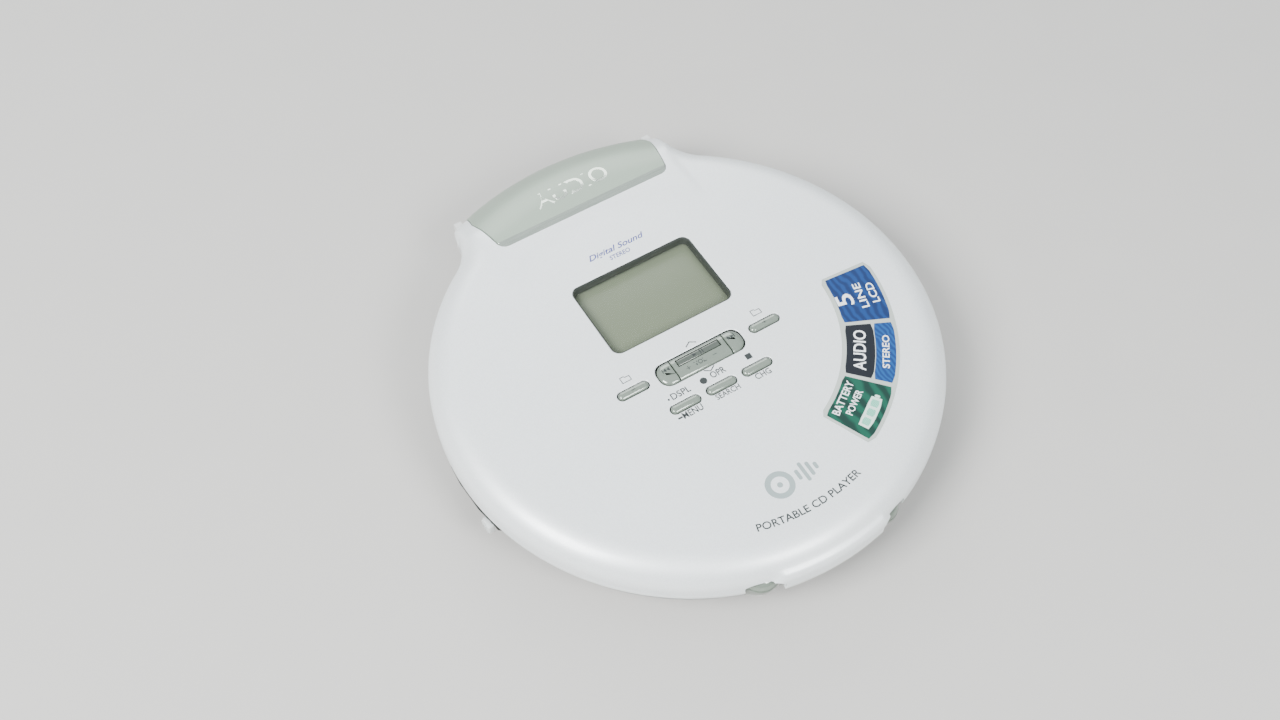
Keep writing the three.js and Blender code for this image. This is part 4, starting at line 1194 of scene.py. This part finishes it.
class PLAYER_OT_base(bpy.types.Operator):
    """Base: lower case with its battery barrel, and the pale trim"""

    bl_idname = "player.base"
    bl_label = "Base"

    def execute(self, context):
        bm = bmesh.new()
        spun(bm, [*CASE_SECTION, (0, 13)], BOWL_STEPS)
        case = finish("lower_case_bowl", bm, "base", ["case"], ["lower_case"], 35)
        carve(case, drawn_along_x, BARREL_SIDE, -BARREL_HALF, BARREL_HALF, operation="UNION")
        carve(case, case_room)
        carve(case, drawn_along_x, BAY_SIDE, -BAY_HALF, BAY_HALF)
        carve(case, block, -BAY_HALF, BAY_HALF, 59.2, 80, 0, 2.4)
        bm = button_tool(60, 9.9, 14)
        block(bm, -75, -62.4, -15.7, 5.9, 5.4, 14)
        cut(case, bm, sharp=35)
        carve(case, block, -BARREL_HALF, BARREL_HALF, 50, 58.7, 12.3, 14)
        bm = bmesh.new()
        for x in (-34.05, 34.05):
            level_rod(bm, PIN_R, x - 6.15, x + 6.15, HINGE_Y, HINGE_Z)
        for x, y in ((-50, 12), (50, -12), (0, -44)):
            upright_rod(bm, 2.2, 0, 1.4, x, y)
        cut(case, bm, sharp=35)
        rounded_edges(case, 0.0003)
        bm = bmesh.new()
        section = [(67.35, 13.35), (68.6, 13.35), (68.85, 13.45), (68.95, 13.8), (68.85, 14.15),
                   (68.6, 14.25), (67.35, 14.25)]
        spun(bm, section, 600)
        for v in bm.verts:
            off_rear = abs(math.degrees(math.atan2(v.co.x, v.co.y)))
            reach = v.co.xy.length
            if off_rear > 90:
                grown = reach + (edge_radius(off_rear) - BODY_R) * min(1.0, max(0.0, (reach - 67.5) / 1.1))
                v.co.x *= grown / reach
                v.co.y *= grown / reach
        pieces = ["base_trim_1", "base_trim_2", "base_trim_3"]
        trim = finish("trim_ring", bm, "base", ["trim"], pieces, 35)
        tool = button_tool(60, 12, 16)
        block(tool, -39, 39, 40, 80, 12, 16)
        cut(trim, tool, sharp=35)
        return {"FINISHED"}


class PLAYER_OT_deck(bpy.types.Operator):
    """Deck: the disc well, the battery arch, and the turntable with its claw slots and mat"""

    bl_idname = "player.deck"
    bl_label = "Deck"

    def execute(self, context):
        bm = bmesh.new()
        section = [(0, 12.6), (66.4, 12.6), (66.4, 14), (64.4, 14), (64.2, 16), (63.3, 16), (63.05, 15.85),
                   (62.4, 14), (58.2, 14), (57.9, 13.75), (24.2, 13.75), (23.9, 14), (0, 14)]
        spun(bm, section, BOWL_STEPS)
        deck = finish("disc_well", bm, "base", ["deck"], ["disc_deck"], 35)
        bm = button_tool(62.2, 12, 17)
        block(bm, -80, 80, 58.2, 80, 12, 18)
        cut(deck, bm, sharp=35)
        carve(deck, upright_rod, 16.4, 12, 15, 0, 0, 96)
        carve(deck, block, 10, 63.1, -6.2, 6.2, 12, 15)
        bm = bmesh.new()
        outer, inner = (arc_points(66.5, 9.6, radius, 0, 40) for radius in (8.1, 7.45))
        side = [p for p in outer if p[1] > 13.3 and p[0] < 75.4] + [p for p in reversed(inner) if p[1] > 13.3]
        drawn_along_x(bm, side, -HOUSING_HALF, HOUSING_HALF)
        block(bm, -HOUSING_HALF, HOUSING_HALF, 56.5, 60, 13.35, 13.95)
        housing = finish("battery_arch", bm, "base", ["deck"])
        rounded_edges(deck, 0.0002)
        rounded_edges(housing, 0.0002)
        bm = bmesh.new()
        section = [(0, 11.2), (3, 11.2), (3, 13), (15.2, 13), (15.5, 13.2), (15.6, 15.2), (15.4, 15.4),
                   (12.7, 15.4), (12.4, 15), (7.3, 15), (7.3, 17), (7.1, 17.35), (6.7, 17.6), (2.2, 17.6),
                   (1.9, 17.3), (0, 17.3)]
        spun(bm, section, 120)
        table = finish("turntable_hub", bm, "turntable", ["black"], ["turntable"], 35)
        bm = bmesh.new()
        for i in range(3):
            turn_about_spindle(bm, block(bm, 4.4, 9, -1.5, 1.5, 15.3, 17), 90 + 120 * i)
        cut(table, bm, sharp=35)
        bm = bmesh.new()
        spun(bm, [(12.9, 15.4), (15.1, 15.4), (15.0, 15.6), (13.0, 15.6)], 96)
        finish("turntable_mat", bm, "turntable", ["rubber"])
        return {"FINISHED"}


def refined(node, key, width):
    """A finer copy of a frame part: merged, its hard edges rounded, its curves smooth."""
    bm = bmesh.new()
    bm.from_mesh(NODES[node].data)
    bmesh.ops.remove_doubles(bm, verts=bm.verts, dist=1e-6)
    bmesh.ops.dissolve_limit(bm, angle_limit=math.radians(1), verts=bm.verts, edges=bm.edges)
    bmesh.ops.recalc_face_normals(bm, faces=bm.faces)
    rounded_edges(placed(node + "_fine", bm, BODY_OF[node], [key], [node], 35), width)


class PLAYER_OT_fittings(bpy.types.Operator):
    """Fittings: sockets, hold knob, open buttons, battery, drive, screws and feet"""

    bl_idname = "player.fittings"
    bl_label = "Fittings"

    def execute(self, context):
        groups = [
            ("steel", "steel", ["mech_chassis", "guide_shaft_front", "guide_shaft_rear", "sled_motor",
                                "spindle_motor", "case_screw_1", "case_screw_2", "case_screw_3",
                                "hinge_pin_left", "hinge_pin_right"]),
            ("brass", "contact_metal", ["battery_contact_plus", "battery_contact_spring", "motor_pinion"]),
            ("rubber", "rubber", ["foot_1", "foot_2", "foot_3", "damper_front_left", "damper_rear_left",
                                  "damper_right"]),
            ("board", "circuit_board", ["main_board", "control_board"]),
            ("black", "socket_dark", ["socket_panel", "headphone_socket", "power_socket", "pickup_sled"]),
            ("inner", "inner_white", ["reduction_gear", "chuck_claw_1", "chuck_claw_2", "chuck_claw_3"]),
            ("case", "case_grey", ["battery_door", "lens_holder", "lid_catch_left", "lid_catch_right"]),
            ("lens", "clear_window", ["objective_lens"]),
        ]
        for key, slot, names in groups:
            for name in names:
                fine = any(word in name for word in ("gear", "pinion", "contact"))
                refined(name, key, 0.00008 if fine else 0.00015)
        self.cell()
        self.buttons()
        self.knob()
        return {"FINISHED"}

    @staticmethod
    def cell():
        low, high = local_box("battery_cell")
        y, z = (low.y + high.y) / 2, (low.z + high.z) / 2
        radius = (high.y - low.y) / 2
        section = [(0, low.x), (radius - 0.8, low.x), (radius - 0.4, low.x + 0.4),
                   (radius - 0.1, low.x + 0.5), (radius, low.x + 0.9), (radius, high.x - 2.2),
                   (radius - 0.3, high.x - 1.5),
                   (2.7, high.x - 1.2), (2.6, high.x - 0.2), (2.4, high.x), (0, high.x)]
        bm = bmesh.new()
        spun(bm, section, 64)
        turn = Matrix.Rotation(math.pi / 2, 4, "Y")
        bmesh.ops.transform(bm, matrix=Matrix.Translation((0, y, z)) @ turn, verts=bm.verts)
        cell = finish("cell", bm, "base", ["jacket", "brass"], ["battery_cell"], 35)
        for face in cell.data.polygons:
            x = (face.center.x - SPINDLE.x) / MM
            if x > high.x - 7.5:
                face.material_index = 1

    @staticmethod
    def buttons():
        """Lens-shaped open buttons, each with a groove along its middle."""
        levels = [(10.25, 0.0), (10.6, 0.45), (11.6, 0.8), (13.0, 1.0), (14.1, 1.0), (14.3, 0.45),
                  (14.6, 0.45), (14.8, 1.0), (15.8, 0.85), (16.7, 0.5), (17.2, 0.0)]
        for side, direction in zip(("left", "right"), OPEN_DIRECTIONS):
            bm = bmesh.new()
            turn = Matrix.Rotation(math.radians(direction), 3, "Z")
            loops = []
            for z, bulge in levels:
                narrow = 1.0 if z < 15 else math.sqrt(max(0.05, 1 - ((z - 15) / 2.35) ** 2))
                loop = []
                for i in range(25):
                    a = OPEN_HALF * narrow * (i / 12 - 1)
                    reach = 67.6 + 2.3 * bulge * (1 - (i / 12 - 1) ** 2)
                    loop.append(turn @ Vector((reach, a, z)))
                loop += [turn @ Vector((66.55, a, z)) for a in (OPEN_HALF * narrow, -OPEN_HALF * narrow)]
                loops.append(loop)
            loft(bm, loops)
            turn_about_spindle(bm, block(bm, 64.6, 66.8, -2.4, 2.4, 10.6, 12.1), direction)
            node = "open_button_" + side
            finish(node + "_lens", bm, node, ["smoke"], [node], 40)

    @staticmethod
    def knob():
        """Hold knob with fine ribs across its face."""
        low, high = local_box("hold_knob")
        bm = bmesh.new()
        block(bm, low.x + 0.35, high.x, low.y, high.y, low.z, high.z, 0.25)
        for i in range(5):
            y = low.y + 0.45 + (high.y - low.y - 0.9) * i / 4
            block(bm, low.x, low.x + 0.7, y - 0.17, y + 0.17, low.z + 0.3, high.z - 0.3, 0.08)
        finish("hold_knob_ribbed", bm, "hold_knob", ["trim"], ["hold_knob"])


# ---------------------------------------------------------------- stage
CAMERA_LENS = 42.19
CAMERA_TILT = math.radians(-0.64)
CAMERA_AIM = (-13.94, 1.0)  # point of the lid's top that the camera looks at


class PLAYER_OT_stage(bpy.types.Operator):
    """Stage: pale floor, soft lights and the camera"""

    bl_idname = "player.stage"
    bl_label = "Stage"

    def execute(self, context):
        bm = bmesh.new()
        bmesh.ops.create_grid(bm, x_segments=1, y_segments=1, size=2.5)
        mesh = bpy.data.meshes.new("floor")
        bm.to_mesh(mesh)
        bm.free()
        floor = bpy.data.objects.new("floor", mesh)
        context.scene.collection.objects.link(floor)
        mesh.materials.append(moulded("floor_pale", (0.50, 0.49, 0.47), 0.85, 300.0, 0.00002, wear=0.01))
        floor.location.z = -0.0001
        world = bpy.data.worlds.new("studio")
        world.use_nodes = True
        tree = world.node_tree
        sky = tree.nodes.new("ShaderNodeTexCoord")
        parts = tree.nodes.new("ShaderNodeSeparateXYZ")
        tree.links.new(sky.outputs["Generated"], parts.inputs["Vector"])
        tree.links.new(ramp(tree, parts.outputs["Z"], (0.30, 0.33, 0.34), (0.88, 0.95, 1.0), 0.0, 0.75),
                       tree.nodes["Background"].inputs["Color"])
        tree.nodes["Background"].inputs["Strength"].default_value = 1.0
        context.scene.world = world
        lamps = [("lamp_left", (-0.7, -0.1, 0.75), 0.45, 20.0), ("lamp_rear", (0.3, 0.9, 0.6), 0.6, 5.0),
                 ("lamp_front", (0.12, -0.66, 0.62), 0.3, 7.0)]
        for name, place, size, power in lamps:
            data = bpy.data.lights.new(name, "AREA")
            data.size = size
            data.energy = power
            lamp = bpy.data.objects.new(name, data)
            lamp.location = place
            lamp.rotation_euler = (-Vector(place)).to_track_quat("-Z", "Y").to_euler()
            context.scene.collection.objects.link(lamp)
        sizes = context.scene.player_sizes
        heading, rise = sizes.camera_heading, sizes.camera_elevation
        level = math.cos(rise)
        look = Vector((math.sin(heading) * level, math.cos(heading) * level, -math.sin(rise)))
        aim = SPINDLE + Vector((*CAMERA_AIM, TOP_Z)) * MM
        data = bpy.data.cameras.new("camera")
        data.lens = CAMERA_LENS
        data.sensor_width = 36.0
        data.clip_start = 0.01
        camera = bpy.data.objects.new("camera", data)
        camera.rotation_mode = "QUATERNION"
        tilt = Quaternion((0, 0, 1), CAMERA_TILT)
        camera.rotation_quaternion = look.to_track_quat("-Z", "Y") @ tilt
        camera.location = aim - look * sizes.camera_distance
        context.scene.collection.objects.link(camera)
        context.scene.camera = camera
        return {"FINISHED"}


class PLAYER_PT_panel(bpy.types.Panel):
    """Sidebar panel with one button for each group of pieces"""

    bl_idname = "PLAYER_PT_panel"
    bl_label = "Disc Player"
    bl_space_type = "VIEW_3D"
    bl_region_type = "UI"
    bl_category = "Disc Player"

    def draw(self, context):
        for group in (context.scene.player_sizes, context.scene.player_colours):
            for key in group.__annotations__:
                self.layout.prop(group, key)
        for operator in OPERATORS:
            self.layout.operator(operator.bl_idname)


OPERATORS = (PLAYER_OT_stage, PLAYER_OT_lid, PLAYER_OT_plate, PLAYER_OT_prints, PLAYER_OT_label,
             PLAYER_OT_keys, PLAYER_OT_display, PLAYER_OT_base, PLAYER_OT_deck, PLAYER_OT_fittings)
CLASSES = (PlayerSizes, PlayerColours, *OPERATORS, PLAYER_PT_panel)


def register():
    for item in CLASSES:
        bpy.utils.register_class(item)
    bpy.types.Scene.player_sizes = bpy.props.PointerProperty(type=PlayerSizes)
    bpy.types.Scene.player_colours = bpy.props.PointerProperty(type=PlayerColours)


def unregister():
    del bpy.types.Scene.player_sizes
    del bpy.types.Scene.player_colours
    for item in reversed(CLASSES):
        bpy.utils.unregister_class(item)


def main():
    register()
    MATERIALS.update(make_materials())
    for operator in OPERATORS:
        group, name = operator.bl_idname.split(".")
        getattr(getattr(bpy.ops, group), name)()


if __name__ == "__main__":
    main()
